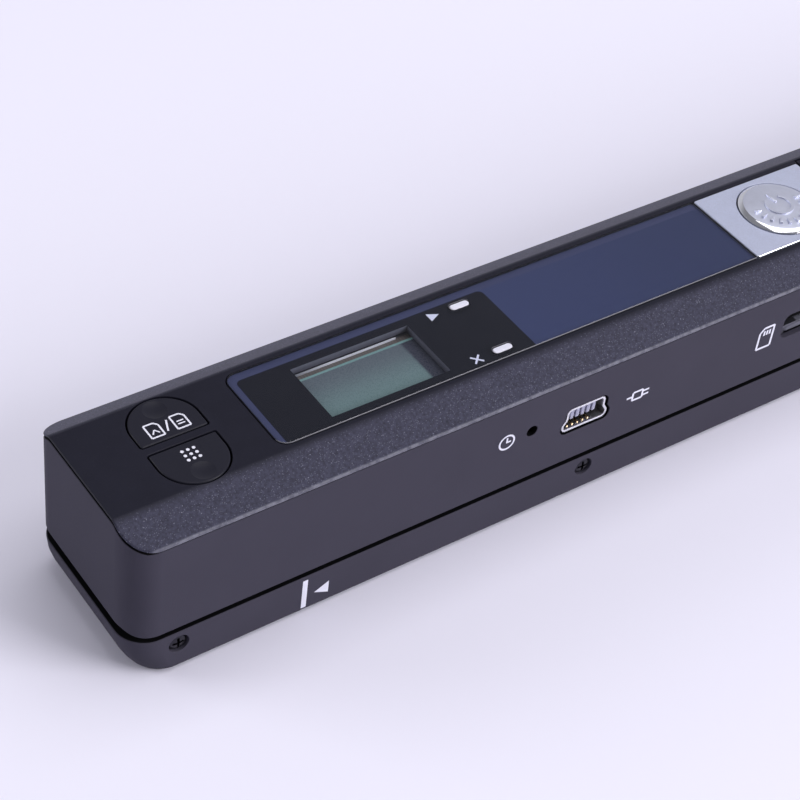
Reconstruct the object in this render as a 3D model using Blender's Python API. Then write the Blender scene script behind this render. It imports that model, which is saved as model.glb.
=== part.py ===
"""Handheld page scanner: a slim wand with a display, keys, rollers and a battery bay.

Metres, +Z up. X runs along the wand, and the face with the sockets looks along -Y.
The origin is below the middle of the body, on the surface that the rollers stand on.
Places along the wand are given as distances from its left end; along() turns them into X.
"""

import math

import bmesh
import bpy
from mathutils import Matrix, Vector

MM = 0.001

# Clearances
FIT_GAP = 0.3 * MM        # between a piece and what it rests on or against
FILM_GAP = 0.1 * MM       # between layers that are glued together
SEAT_GAP = 0.15 * MM      # round a bush, pin or screw in its hole
RUN_GAP = 0.08 * MM       # round a turning shaft, and between a shaft and what is pressed on it
EDGE_GAP = 0.25 * MM      # round a key or a cover in its opening
SIDE_GAP = 0.4 * MM       # between something that turns and what stands beside it
CUT_OVERRUN = 1.0 * MM    # how far a cutter runs past what it cuts

# Shells
WALL = 1.8 * MM
CORNER_RADIUS = 4.4 * MM
CORNER_STEPS = 6
SLOPE_RUN = 4.66 * MM     # the sloped long edge, measured across the body
SLOPE_DROP = 3.1 * MM
CREASE_BLEND = 0.4 * MM
EDGE_ROUND = 0.35 * MM
BOTTOM_ROUND = 0.7 * MM
ROOF_THICKNESS = 2.2 * MM
RIM_THICKNESS = 0.55 * MM
SEAM_GAP = 0.25 * MM
PARTING_HEIGHT = 7.4 * MM   # from the underside to the groove between the housings
PARTING_GROOVE = 0.5 * MM
LIP_INSET = 1.1 * MM
LIP_HEIGHT = 1.2 * MM

# Rollers
WHEEL_RADIUS = 4.5 * MM
WHEEL_WIDTH = 6.0 * MM
WHEEL_PROTRUSION = 0.3 * MM
WHEEL_EDGE = 0.5 * MM
WHEEL_SIDES = 32
SHAFT_RADIUS = 1.0 * MM
SHAFT_SIDES = 16
SHAFT_END_PLAY = 0.3 * MM
BUSH_RADIUS = 1.8 * MM
BUSH_LENGTH = 2.5 * MM
BUSH_STAND_OUT = 0.3 * MM
BLOCK_THICKNESS = 2.8 * MM
BLOCK_MARGIN = 0.8 * MM
SLOT_MARGIN = 0.4 * MM

# Gear train and encoder
GEAR_MODULE = 0.3 * MM
GEAR_TEETH = 18
PINION_TEETH = 14
GEAR_WIDTH = 2.5 * MM
GEAR_PLAY = 0.7 * MM
ADDENDUM_SHARE = 0.9
DEDENDUM_SHARE = 1.25
TIP_SHARE = 0.13
ROOT_SHARE = 0.30
ENCODER_ANGLE = math.radians(135.0)
ENCODER_AXLE_RADIUS = 0.75 * MM
ENCODER_AXLE_TAIL = 1.0 * MM
DISC_THICKNESS = 0.5 * MM
DISC_OFFSET = 2.3 * MM
DISC_SLOTS = 12
DISC_SLOT_WIDTH = 0.5 * MM
DISC_RIM = 0.4 * MM
DISC_SLOT_LENGTH = 1.1 * MM
POST_OFFSET = 0.7 * MM
POST_THICKNESS = 1.4 * MM
POST_TO_WHEEL = 1.0 * MM
GATE_ARM = 1.5 * MM
GATE_REACH = 1.4 * MM
GATE_DEPTH = 5.6 * MM
GATE_BACK = 2.4 * MM
GATE_TOP_RISE = 1.8 * MM

# Contact image sensor
SCAN_WIDTH = 210.0 * MM
SENSOR_END = 4.1 * MM
WHEEL_TO_SENSOR = 2.6 * MM
SENSOR_HEIGHT = 7.4 * MM
GLASS_THICKNESS = 1.3 * MM
GLASS_RECESS = 0.3 * MM
GLASS_WIDTH = 7.4 * MM
GLASS_END = 1.8 * MM
LENS_WIDTH = 1.6 * MM
LENS_HEIGHT = 4.0 * MM
LENS_RISE = 1.3 * MM
LENS_OFFSET = 1.7 * MM
GUIDE_WIDTH = 2.2 * MM
GUIDE_HEIGHT = 2.6 * MM
GUIDE_RISE = 0.8 * MM
GUIDE_OFFSET = 1.9 * MM
GUIDE_CORNER = 0.7 * MM
SENSOR_BOARD_THICKNESS = 1.0 * MM
SENSOR_BOARD_WIDTH = 7.8 * MM
SENSOR_SIDE = 1.3 * MM      # from the board's edge to the housing's side
CABLE_WIDTH = 6.0 * MM
CABLE_THICKNESS = 0.3 * MM
CABLE_START = 12.0 * MM
CABLE_LOWER_RUN = 12.0 * MM
CABLE_UPPER_RUN = 8.0 * MM
CABLE_BEND_STEPS = 8

# Battery bay
CELL_DIAMETER = 14.5 * MM
CELL_LENGTH = 50.5 * MM
CELL_SIDES = 32
CELL_EDGE = 0.5 * MM
NUB_RADIUS = 2.75 * MM
NUB_HEIGHT = 1.0 * MM
BAY_FLOOR = 0.9 * MM
BAY_WALL = 1.2 * MM
BAY_RIB_HEIGHT = 5.2 * MM
BAY_RIB_THICKNESS = 1.2 * MM
BAY_END_ROOM = 11.0 * MM
CONTACT_THICKNESS = 0.4 * MM
CONTACT_SIZE = 10.0 * MM
SPRING_LENGTH = 5.5 * MM
SPRING_TURNS = 4
SPRING_STEPS = 10
SPRING_WIRE = 0.35 * MM
SPRING_BASE_RADIUS = 4.2 * MM
SPRING_TIP_RADIUS = 2.4 * MM
SPRING_WIRE_SIDES = 6

# Battery door
DOOR_THICKNESS = 1.4 * MM
DOOR_CLEARANCE = 0.4 * MM
DOOR_EDGE_MARGIN = 0.54 * MM
DOOR_GAP = 0.5 * MM
DOOR_OVERHANG = 1.0 * MM    # how far the door starts before the bay
TONGUE_WIDTH = 1.0 * MM
TONGUE_ROOT = 1.2 * MM
TONGUE_THICKNESS = 1.0 * MM
RAIL_THICKNESS = 1.0 * MM
DOOR_RIBS = 5
DOOR_RIB_PITCH = 1.6 * MM
DOOR_RIB_WIDTH = 0.7 * MM
DOOR_RIB_DEPTH = 0.4 * MM
DOOR_RIB_START = 4.0 * MM
DOOR_RIB_LENGTH = 9.0 * MM

# Boards
BOARD_ROOM = 6.4 * MM       # between the main board and the display board above it
BOARD_THICKNESS = 1.2 * MM
DISPLAY_BOARD_THICKNESS = 1.0 * MM
BOARD_LEDGE = 1.5 * MM
LEDGE_HEIGHT = 1.2 * MM
POST_RADIUS = 1.4 * MM
POST_EMBED = 0.5 * MM
POST_EDGE = 0.3 * MM
POST_TO_PLATE = 7.7 * MM
CHIP_SIZE = 12.0 * MM
CHIP_HEIGHT = 1.2 * MM
CHIP_PLACE = 45.0 * MM
MEMORY_LENGTH = 13.0 * MM
MEMORY_WIDTH = 8.0 * MM
MEMORY_HEIGHT = 1.0 * MM
MEMORY_TO_SLOT = 5.2 * MM
HEADER_LENGTH = 15.0 * MM
HEADER_WIDTH = 2.5 * MM
HEADER_PLACE = 84.0 * MM
HEADER_EDGE = 1.2 * MM

# Keys and switches
KEY_PLACE = 14.1 * MM
KEY_RADIUS = 4.9 * MM
KEY_SPLIT = 1.7 * MM
KEY_MARGIN = 0.27 * MM      # from the key's round end to the slope
KEY_FLANGE = 0.5 * MM
KEY_FLAT_FLANGE = 0.3 * MM
KEY_EDGE = 0.15 * MM
KEY_ARC_STEPS = 14
DIMPLE_RADIUS = 1.5 * MM
DIMPLE_DEPTH = 0.22 * MM
DIMPLE_FROM_TIP = 2.0 * MM
DIMPLE_FLOOR_SHARE = 0.3
DIMPLE_MIDDLE_SHARE = 0.72
SWITCH_SIZE = 5.0 * MM
SWITCH_HEIGHT = 1.5 * MM
SWITCH_FLOOR = 0.2 * MM
PLUNGER_RADIUS = 1.25 * MM
PLUNGER_RISE = 0.7 * MM
PLUNGER_TUCK = 0.6 * MM

# Display window
KEY_TO_WINDOW = 6.4 * MM
WINDOW_LENGTH = 82.1 * MM
WINDOW_MARGIN = 1.1 * MM
WINDOW_PROUD = 0.1 * MM
WINDOW_THICKNESS = 1.0 * MM
WINDOW_CORNER = 1.8 * MM
WINDOW_EDGE = 0.12 * MM
WINDOW_SIDE_GAP = 0.15 * MM
MASK_THICKNESS = 0.3 * MM
MASK_INSET = 0.2 * MM
VIEW_START = 8.25 * MM     # from the window's left edge
VIEW_LENGTH = 19.1 * MM
VIEW_DEPTH = 10.4 * MM
VIEW_SHIFT = 0.8 * MM      # towards the front
LCD_MARGIN = 0.6 * MM
LCD_THICKNESS = 1.9 * MM
LCD_PROUD = 0.4 * MM
LCD_FRAME_SIDE = 2.0 * MM
LCD_FRAME_HEIGHT = 3.4 * MM
LIGHT_START = 36.4 * MM    # from the window's left edge to the middle of a light
LIGHT_LENGTH = 3.2 * MM
LIGHT_WIDTH = 1.15 * MM
SCAN_LIGHT_Y = 4.6 * MM
ERROR_LIGHT_Y = -5.65 * MM
LIGHT_FLANGE = 0.5 * MM
LIGHT_FLANGE_THICKNESS = 0.7 * MM
LIGHT_STEPS = 6

# Silver plate and scan button
PLATE_LENGTH = 21.2 * MM
PLATE_GAP = 0.2 * MM
PLATE_EDGE = 0.12 * MM
BUTTON_RADIUS = 6.15 * MM
BUTTON_FLANGE = 1.0 * MM
BUTTON_RIM_RISE = 0.15 * MM
BUTTON_BEVEL_WIDTH = 0.75 * MM
BUTTON_BEVEL_RISE = 0.5 * MM
BUTTON_DOME = 0.3 * MM
BUTTON_SIDES = 48
DOME_SHARES = (0.75, 0.5, 0.25, 0.08)

# Sockets and pinhole in the front wall
USB_PLACE = 72.6 * MM
USB_WIDTH = 7.7 * MM
USB_TOP_WIDTH = 6.3 * MM
USB_HEIGHT = 4.0 * MM
USB_CORNER = 0.5 * MM
USB_NECK_LOW = 0.1 * MM
USB_NECK_HIGH = 0.9 * MM
USB_SHEET = 0.3 * MM
USB_LENGTH = 9.0 * MM
USB_RECESS = 0.2 * MM
USB_OPENING_GAP = 0.4 * MM
TONGUE_SETBACK = 0.9 * MM
TONGUE_CLEAR = 1.2 * MM
TONGUE_RISE = 0.75 * MM
TONGUE_SHEET = 0.6 * MM
USB_PLUG_BLOCK = 2.2 * MM
PLATE_TO_SLOT = 2.5 * MM     # from the silver plate's left edge to the slot's
SLOT_WIDTH = 15.0 * MM
SLOT_HEIGHT = 4.6 * MM
SLOT_CORNER = 1.2 * MM
CARD_WIDTH = 11.0 * MM
CARD_LENGTH = 15.0 * MM
CARD_THICKNESS = 0.8 * MM
CARD_GAP = 0.15 * MM
SOCKET_SIDE = 1.5 * MM
SOCKET_HEIGHT = 2.0 * MM
SOCKET_BACK = 0.8 * MM
SOCKET_SETBACK = 0.9 * MM
SOCKET_FLOOR = 0.55 * MM
PINHOLE_PLACE = 63.0 * MM
PINHOLE_RADIUS = 0.92 * MM
PINHOLE_RISE = 3.3 * MM
TIME_SWITCH_WIDTH = 6.0 * MM
TIME_SWITCH_DEPTH = 3.4 * MM
TIME_SWITCH_ABOVE = 1.6 * MM
TIME_PLUNGER_RADIUS = 0.9 * MM
TIME_PLUNGER_RISE = 0.9 * MM
TIME_PLUNGER_TUCK = 0.7 * MM
TIME_PLUNGER_ROOM = 0.5 * MM

# Side screws
SCREW_PLACE = 7.2 * MM
SCREW_PITCH = 67.4 * MM
SCREW_FROM_END = 45.6 * MM   # the last screw, from the right end
SCREW_RISE = 4.6 * MM      # above the underside
SCREW_HEAD_RADIUS = 1.3 * MM
SCREW_HEAD_HEIGHT = 1.0 * MM
SCREW_SHANK_RADIUS = 0.8 * MM
SCREW_LENGTH = 3.2 * MM
SCREW_RECESS = 0.15 * MM
SCREW_BORE_GAP = 0.25 * MM
CROSS_WIDTH = 0.4 * MM
CROSS_LENGTH = 1.6 * MM
CROSS_DEPTH = 0.5 * MM
BOSS_HALF = 2.0 * MM
BOSS_DEPTH = 2.5 * MM
BOSS_ROOT = 1.5 * MM
SCREW_SIDES = 16

# Heights, from the surface that the wheels stand on
UNDERSIDE_Z = WHEEL_PROTRUSION
FLOOR_Z = UNDERSIDE_Z + GLASS_RECESS + GLASS_THICKNESS
SENSOR_Z = FLOOR_Z + FIT_GAP
SENSOR_TOP = SENSOR_Z + SENSOR_HEIGHT
LENS_Z = SENSOR_Z + LENS_RISE
SENSOR_BOARD_Z = LENS_Z + LENS_HEIGHT + FIT_GAP
SENSOR_BOARD_TOP = SENSOR_BOARD_Z + SENSOR_BOARD_THICKNESS
BAY_Z = SENSOR_TOP + FIT_GAP
BAY_FLOOR_TOP = BAY_Z + BAY_FLOOR
CELL_Z = BAY_FLOOR_TOP + FIT_GAP + CELL_DIAMETER / 2
TOP_Z = CELL_Z + CELL_DIAMETER / 2 + DOOR_CLEARANCE + DOOR_THICKNESS
PARTING_Z = UNDERSIDE_Z + PARTING_HEIGHT
ROLLER_Z = WHEEL_RADIUS
ROOF_Z = TOP_Z - ROOF_THICKNESS
WINDOW_TOP = TOP_Z + WINDOW_PROUD
WINDOW_Z = WINDOW_TOP - WINDOW_THICKNESS
MASK_Z = WINDOW_Z - FILM_GAP - MASK_THICKNESS
RECESS_Z = MASK_Z - FILM_GAP
LCD_FRAME_TOP = ROOF_Z - FIT_GAP
LCD_FRAME_Z = LCD_FRAME_TOP - LCD_FRAME_HEIGHT
DISPLAY_BOARD_TOP = LCD_FRAME_Z - FIT_GAP
DISPLAY_BOARD_Z = DISPLAY_BOARD_TOP - DISPLAY_BOARD_THICKNESS
MAIN_BOARD_TOP = DISPLAY_BOARD_Z - BOARD_ROOM
MAIN_BOARD_Z = MAIN_BOARD_TOP - BOARD_THICKNESS
PARTS_Z = MAIN_BOARD_TOP + FIT_GAP
SWITCH_Z = DISPLAY_BOARD_TOP + FIT_GAP
SWITCH_TOP = SWITCH_Z + SWITCH_HEIGHT
PLUNGER_TOP = SWITCH_TOP + PLUNGER_RISE
KEY_Z = PLUNGER_TOP + FIT_GAP
FLANGE_TOP = ROOF_Z - FIT_GAP
USB_Z = PARTS_Z + USB_HEIGHT / 2
PINHOLE_Z = PARTS_Z + PINHOLE_RISE
SCREW_Z = UNDERSIDE_Z + SCREW_RISE
DOOR_Z = TOP_Z - DOOR_THICKNESS
TONGUE_Z = DOOR_Z - TONGUE_THICKNESS
BAY_TOP = TONGUE_Z - FIT_GAP - RAIL_THICKNESS - FIT_GAP

# Places across the body
SENSOR_HALF = SENSOR_BOARD_WIDTH / 2 + SENSOR_SIDE
ROLLER_Y = SENSOR_HALF + SIDE_GAP + SHAFT_RADIUS
INNER_HALF = ROLLER_Y + WHEEL_RADIUS + FIT_GAP
HALF_DEPTH = INNER_HALF + WALL
FLAT_HALF = HALF_DEPTH - SLOPE_RUN
BOARD_HALF = INNER_HALF - FIT_GAP
WINDOW_HALF = FLAT_HALF - WINDOW_MARGIN
DOOR_HALF = FLAT_HALF - DOOR_EDGE_MARGIN
TONGUE_HALF = DOOR_HALF + TONGUE_WIDTH
PLUG_INSET = WALL + FIT_GAP
KEY_NEAR = KEY_SPLIT / 2
KEY_TIP = FLAT_HALF - KEY_MARGIN
KEY_MIDDLE = (KEY_NEAR + KEY_TIP) / 2
VIEW_Y = -VIEW_SHIFT

# Places along the body, from its left end
GEAR_START = WALL + BLOCK_THICKNESS + BUSH_STAND_OUT + GEAR_PLAY
GEAR_END = GEAR_START + GEAR_WIDTH
DISC_START = GEAR_END + DISC_OFFSET
DISC_END = DISC_START + DISC_THICKNESS
POST_START = DISC_END + POST_OFFSET
POST_END = POST_START + POST_THICKNESS
LEFT_WHEEL = POST_END + POST_TO_WHEEL
SENSOR_START = LEFT_WHEEL + WHEEL_WIDTH + WHEEL_TO_SENSOR
SCAN_START = SENSOR_START + SENSOR_END
SENSOR_STOP = SCAN_START + SCAN_WIDTH + SENSOR_END
WHEEL_FROM_END = WALL + BLOCK_THICKNESS + BUSH_STAND_OUT + GEAR_PLAY + WHEEL_WIDTH
ROLLERS_END = SENSOR_STOP + WHEEL_TO_SENSOR + WHEEL_FROM_END
WINDOW_START = KEY_PLACE + KEY_RADIUS + KEY_TO_WINDOW
WINDOW_END = WINDOW_START + WINDOW_LENGTH
PLATE_START = WINDOW_END + PLATE_GAP
PLATE_END = PLATE_START + PLATE_LENGTH
BUTTON_PLACE = (PLATE_START + PLATE_END) / 2
SLOT_PLACE = PLATE_START + PLATE_TO_SLOT
DOOR_START = PLATE_END + DOOR_GAP
BAY_WALL_START = DOOR_START + DOOR_OVERHANG
BAY_START = BAY_WALL_START + BAY_WALL
SPRING_PLATE = BAY_START + FIT_GAP
CELL_START = SPRING_PLATE + CONTACT_THICKNESS + SPRING_LENGTH + FIT_GAP
SECOND_CELL_START = CELL_START + CELL_LENGTH + FIT_GAP
CELLS_END = SECOND_CELL_START + CELL_LENGTH
CONTACT_START = CELLS_END + FIT_GAP
BAY_STOP = CONTACT_START + CONTACT_THICKNESS + FIT_GAP
BODY_LENGTH = max(ROLLERS_END, BAY_STOP + BAY_WALL + BAY_END_ROOM)
HALF_LENGTH = BODY_LENGTH / 2
RIGHT_WHEEL = BODY_LENGTH - WHEEL_FROM_END
LAST_SCREW = BODY_LENGTH - SCREW_FROM_END
SCREW_PLACES = (SCREW_PLACE, SCREW_PLACE + SCREW_PITCH, (SCREW_PLACE + SCREW_PITCH + LAST_SCREW) / 2, LAST_SCREW)
VIEW_FROM = WINDOW_START + VIEW_START
VIEW_MIDDLE = VIEW_FROM + VIEW_LENGTH / 2
LIGHT_PLACE = WINDOW_START + LIGHT_START
BOARD_START = CORNER_RADIUS + FIT_GAP
MAIN_BOARD_STOP = BAY_WALL_START - FIT_GAP
DISPLAY_BOARD_STOP = PLATE_END - FIT_GAP

# Travels
KEY_TRAVEL = 0.4 * MM
BUTTON_TRAVEL = 0.5 * MM
TIME_TRAVEL = 0.3 * MM

# Colour, roughness and metallic value of each finish
FINISHES = {
    "flecked_paint": ((0.028, 0.028, 0.040), 0.38, 0.15),
    "housing_plastic": ((0.070, 0.066, 0.088), 0.62, 0.0),
    "window_acrylic": ((0.055, 0.070, 0.140), 0.08, 0.0),
    "printed_film": ((0.018, 0.022, 0.042), 0.30, 0.0),
    "silver_paint": ((0.42, 0.45, 0.56), 0.35, 0.6),
    "chrome": ((0.60, 0.61, 0.66), 0.12, 1.0),
    "key_plastic": ((0.026, 0.026, 0.036), 0.45, 0.0),
    "white_plastic": ((0.75, 0.75, 0.82), 0.35, 0.0),
    "black_plastic": ((0.012, 0.012, 0.014), 0.50, 0.0),
    "clear_acrylic": ((0.80, 0.86, 0.88), 0.05, 0.0),
    "display_glass": ((0.130, 0.190, 0.185), 0.15, 0.0),
    "steel": ((0.55, 0.55, 0.57), 0.28, 1.0),
    "black_steel": ((0.030, 0.030, 0.035), 0.35, 0.9),
    "bronze": ((0.42, 0.27, 0.13), 0.40, 1.0),
    "rubber": ((0.020, 0.020, 0.021), 0.85, 0.0),
    "circuit_board": ((0.020, 0.160, 0.060), 0.45, 0.0),
    "acetal": ((0.80, 0.80, 0.76), 0.45, 0.0),
    "scan_glass": ((0.55, 0.62, 0.60), 0.04, 0.0),
    "cell_wrap": ((0.10, 0.16, 0.30), 0.35, 0.4),
    "cable_film": ((0.70, 0.70, 0.68), 0.40, 0.0),
}


def clear_scene():
    for old in list(bpy.data.objects):
        bpy.data.objects.remove(old, do_unlink=True)


def along(distance):
    """X of a place that is this far from the body's left end."""
    return distance - HALF_LENGTH


def new_object(name, bm, origin=(0, 0, 0)):
    """An object whose mesh is given in world places and whose origin is at origin."""
    bmesh.ops.translate(bm, verts=bm.verts, vec=-Vector(origin))
    bmesh.ops.recalc_face_normals(bm, faces=bm.faces)
    mesh = bpy.data.meshes.new(name)
    bm.to_mesh(mesh)
    bm.free()
    mesh.shade_smooth()
    mesh.set_sharp_from_angle(angle=math.radians(35))
    made = bpy.data.objects.new(name, mesh)
    made.location = origin
    bpy.context.scene.collection.objects.link(made)
    return made


def finish(made, finish_name):
    """Give an object a material of its own in one of the finishes."""
    colour, roughness, metallic = FINISHES[finish_name]
    material = bpy.data.materials.new(made.name + "_" + finish_name)
    material.use_nodes = True
    shader = material.node_tree.nodes["Principled BSDF"]
    shader.inputs["Base Color"].default_value = (*colour, 1)
    shader.inputs["Roughness"].default_value = roughness
    shader.inputs["Metallic"].default_value = metallic
    material.diffuse_color = (*colour, 1)
    made.data.materials.append(material)
    return made


def middle_of(low, high):
    return tuple((a + b) / 2 for a, b in zip(low, high))


def fill_block(bm, low, high):
    size = [b - a for a, b in zip(low, high)]
    place = Matrix.Translation(middle_of(low, high)) @ Matrix.Diagonal((*size, 1))
    bmesh.ops.create_cube(bm, size=1, matrix=place)


def block(name, low, high):
    """A box between two corners, with its origin in its middle."""
    bm = bmesh.new()
    fill_block(bm, low, high)
    return new_object(name, bm, middle_of(low, high))


def blocks(name, corners):
    """Several boxes that don't touch, as one object to cut with."""
    bm = bmesh.new()
    for low, high in corners:
        fill_block(bm, low, high)
    return new_object(name, bm)


def close_ring(bm, ring, in_strips):
    """Fill a ring with one face or, where it isn't flat, with strips from end to end."""
    if not in_strips:
        bm.faces.new(ring)
        return
    half = len(ring) // 2
    for i in range(half - 1):
        bm.faces.new((ring[i], ring[i + 1], ring[-2 - i], ring[-1 - i]))


def loft(name, rings, origin=(0, 0, 0), closed=False, in_strips=False):
    """A skin through rings of points, capped at both ends or closed on itself."""
    bm = bmesh.new()
    loops = [[bm.verts.new(point) for point in ring] for ring in rings]
    count = len(rings[0])
    following = loops[1:] + loops[:1] if closed else loops[1:]
    for near, far in zip(loops, following):
        for i in range(count):
            j = (i + 1) % count
            bm.faces.new((near[i], near[j], far[j], far[i]))
    if not closed:
        close_ring(bm, loops[0], in_strips)
        close_ring(bm, loops[-1], in_strips)
    return new_object(name, bm, origin)


def on_axis(axis, across, up, distance):
    """A point from two coordinates across an axis and one along it."""
    if axis == "x":
        return (distance, across, up)
    if axis == "y":
        return (across, distance, up)
    return (across, up, distance)


def prism(name, outline, axis, start, stop):
    """An outline carried straight along an axis."""
    rings = [[on_axis(axis, u, v, a) for u, v in outline] for a in (start, stop)]
    return loft(name, rings)


def circle(middle, radius, sides):
    turn = 2 * math.pi / sides
    u, v = middle
    return [(u + radius * math.cos(i * turn), v + radius * math.sin(i * turn)) for i in range(sides)]


def turned(name, axis, middle, profile, sides, hollow=False):
    """A profile of (radius, place along the axis) turned about that axis."""
    rings = [[on_axis(axis, u, v, a) for u, v in circle(middle, r, sides)] for r, a in profile]
    places = [a for _, a in profile]
    origin = on_axis(axis, *middle, (min(places) + max(places)) / 2)
    return loft(name, rings, origin, closed=hollow)


def rod(name, axis, middle, radius, start, stop, sides=SHAFT_SIDES):
    return turned(name, axis, middle, [(radius, start), (radius, stop)], sides)


def join(made, tool):
    """Add a tool's shape to an object."""
    return shaped(made, tool, "UNION")


def cut(made, tool):
    """Take a tool's shape out of an object."""
    return shaped(made, tool, "DIFFERENCE")


def shaped(made, tool, operation):
    tool.hide_render = True
    tool.display_type = "WIRE"
    change = made.modifiers.new(tool.name, "BOOLEAN")
    change.operation = operation
    change.object = tool
    change.solver = "EXACT"
    return made


def soften(made, width, segments=2):
    """Round an object's sharp edges, before any hole is cut."""
    change = made.modifiers.new("edges", "BEVEL")
    change.width = width
    change.segments = segments
    change.limit_method = "ANGLE"
    change.angle_limit = math.radians(50)
    return made


def rounded_outline(low, high, radii, steps=5):
    """A rectangle with a radius for its low-low, high-low, high-high and low-high corners."""
    centres = []
    signs = ((-1, -1), (1, -1), (1, 1), (-1, 1))
    for (sx, sy), radius in zip(signs, radii):
        x = high[0] - radius if sx > 0 else low[0] + radius
        y = high[1] - radius if sy > 0 else low[1] + radius
        centres.append((x, y, radius))
    points = []
    for corner, (x, y, radius) in enumerate(centres):
        if not radius:
            points.append((x, y))
            continue
        for step in range(steps + 1):
            angle = math.pi * (1 + corner / 2 + step / steps / 2)
            points.append((x + radius * math.cos(angle), y + radius * math.sin(angle)))
    return points


def pill_outline(middle, length, width, grow):
    """A slot with round ends, along X."""
    reach = length / 2 + grow
    half = width / 2 + grow
    low = (middle[0] - reach, middle[1] - half)
    high = (middle[0] + reach, middle[1] + half)
    return rounded_outline(low, high, (half,) * 4, LIGHT_STEPS // 2)


# The body's section and outline

def top_height(y):
    """Height of the body's top surface at this Y."""
    slope = SLOPE_DROP / SLOPE_RUN
    over = abs(y) - FLAT_HALF
    if over <= -CREASE_BLEND:
        return TOP_Z
    if over >= CREASE_BLEND:
        return TOP_Z - slope * over
    return TOP_Z - slope * (over + CREASE_BLEND) ** 2 / (4 * CREASE_BLEND)


def end_levels(inset):
    """Y of the points round one end of the body's outline, back to front."""
    radius = CORNER_RADIUS - inset
    straight = HALF_DEPTH - CORNER_RADIUS
    levels = [FLAT_HALF - CREASE_BLEND, FLAT_HALF, FLAT_HALF + CREASE_BLEND]
    for step in range(CORNER_STEPS + 1):
        levels.append(straight + radius * math.sin(math.pi / 2 * step / CORNER_STEPS))
    levels.sort(reverse=True)
    return levels + [-y for y in reversed(levels)]


def end_reach(y, inset):
    """How far the body's outline reaches from the middle along X at this Y."""
    radius = CORNER_RADIUS - inset
    over = abs(y) - (HALF_DEPTH - CORNER_RADIUS)
    if over <= 0:
        return HALF_LENGTH - inset
    return HALF_LENGTH - CORNER_RADIUS + math.sqrt(max(radius * radius - over * over, 0))


def body_ring(inset, height):
    """The body's outline drawn in by inset, at a height that may follow Y."""
    level = height if callable(height) else (lambda y: height)
    levels = end_levels(inset)
    left = [(-end_reach(y, inset), y, level(y)) for y in levels]
    right = [(end_reach(y, inset), y, level(y)) for y in reversed(levels)]
    return left + right


def below_top(drop):
    """A height that stays this far below the top surface."""
    return lambda y: top_height(y) - drop


# Shells

def make_top_cover():
    rings = [body_ring(PLUG_INSET, below_top(ROOF_THICKNESS)),
             body_ring(PLUG_INSET, below_top(RIM_THICKNESS)),
             body_ring(0, below_top(RIM_THICKNESS)),
             body_ring(0, below_top(EDGE_ROUND)),
             body_ring(EDGE_ROUND * (1 - math.sqrt(0.5)), below_top(EDGE_ROUND * (1 - math.sqrt(0.5)))),
             body_ring(EDGE_ROUND, below_top(0))]
    cover = finish(loft("top_cover", rings, in_strips=True), "flecked_paint")
    for side in (-1, 1):
        join(cover, door_rail(side))
    for number, (place, side) in enumerate(post_places()):
        join(cover, board_post(number, place, side))
    cut(cover, window_recess())
    cut(cover, door_channel())
    cut(cover, view_opening())
    for name, y in (("scan", SCAN_LIGHT_Y), ("error", ERROR_LIGHT_Y)):
        outline = pill_outline((along(LIGHT_PLACE), y), LIGHT_LENGTH, LIGHT_WIDTH, EDGE_GAP)
        cut(cover, prism(name + "_light_hole", outline, "z", ROOF_Z - CUT_OVERRUN, RECESS_Z + CUT_OVERRUN))
    for side in (-1, 1):
        outline = key_outline(side, EDGE_GAP, EDGE_GAP)
        hole = prism("key_hole" + str(side), outline, "z", ROOF_Z - CUT_OVERRUN, TOP_Z + CUT_OVERRUN)
        cut(cover, hole)
    cut(cover, rod("cover_button_hole", "z", (along(BUTTON_PLACE), 0), BUTTON_RADIUS + EDGE_GAP,
                   ROOF_Z - CUT_OVERRUN, TOP_Z + CUT_OVERRUN, BUTTON_SIDES))


def post_places():
    """Distance from the left end and side of each post that holds the display board."""
    near = BOARD_START + POST_RADIUS + POST_EDGE
    far = PLATE_START - POST_TO_PLATE
    return [(place, side) for place in (near, far) for side in (-1, 1)]


def board_post(number, place, side):
    y = side * (BOARD_HALF - POST_RADIUS - LEDGE_HEIGHT)
    return rod("board_post" + str(number), "z", (along(place), y), POST_RADIUS,
               DISPLAY_BOARD_TOP + FIT_GAP, ROOF_Z + POST_EMBED, 12)


def door_rail(side):
    """The bar under the cover's edge that the door's tongue slides in."""
    near = side * (DOOR_HALF + EDGE_GAP)
    far = side * (HALF_DEPTH - PLUG_INSET)
    top = top_height(far) - RIM_THICKNESS
    low = (along(DOOR_START), min(near, far), TONGUE_Z - FIT_GAP - RAIL_THICKNESS)
    high = (along(BODY_LENGTH - CORNER_RADIUS), max(near, far), top)
    return block("door_rail" + str(side), low, high)


def channel_outline():
    """Section of the door's way through the cover: narrow above, wide for the tongues."""
    narrow = DOOR_HALF + EDGE_GAP
    wide = TONGUE_HALF + FIT_GAP
    low = TONGUE_Z - FIT_GAP
    step = DOOR_Z + FIT_GAP
    top = TOP_Z + CUT_OVERRUN
    return [(-wide, low), (wide, low), (wide, step), (narrow, step),
            (narrow, top), (-narrow, top), (-narrow, step), (-wide, step)]


def door_channel():
    return prism("door_channel", channel_outline(), "x", along(DOOR_START - EDGE_GAP), along(BODY_LENGTH + CUT_OVERRUN))


def window_recess():
    """The pocket for the window and the silver plate, open towards the door."""
    half = WINDOW_HALF + WINDOW_SIDE_GAP
    radius = WINDOW_CORNER + WINDOW_SIDE_GAP
    low = (along(WINDOW_START - WINDOW_SIDE_GAP), -half)
    high = (along(DOOR_START), half)
    outline = rounded_outline(low, high, (radius, 0, 0, radius))
    return prism("window_recess", outline, "z", RECESS_Z, TOP_Z + CUT_OVERRUN)


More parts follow.
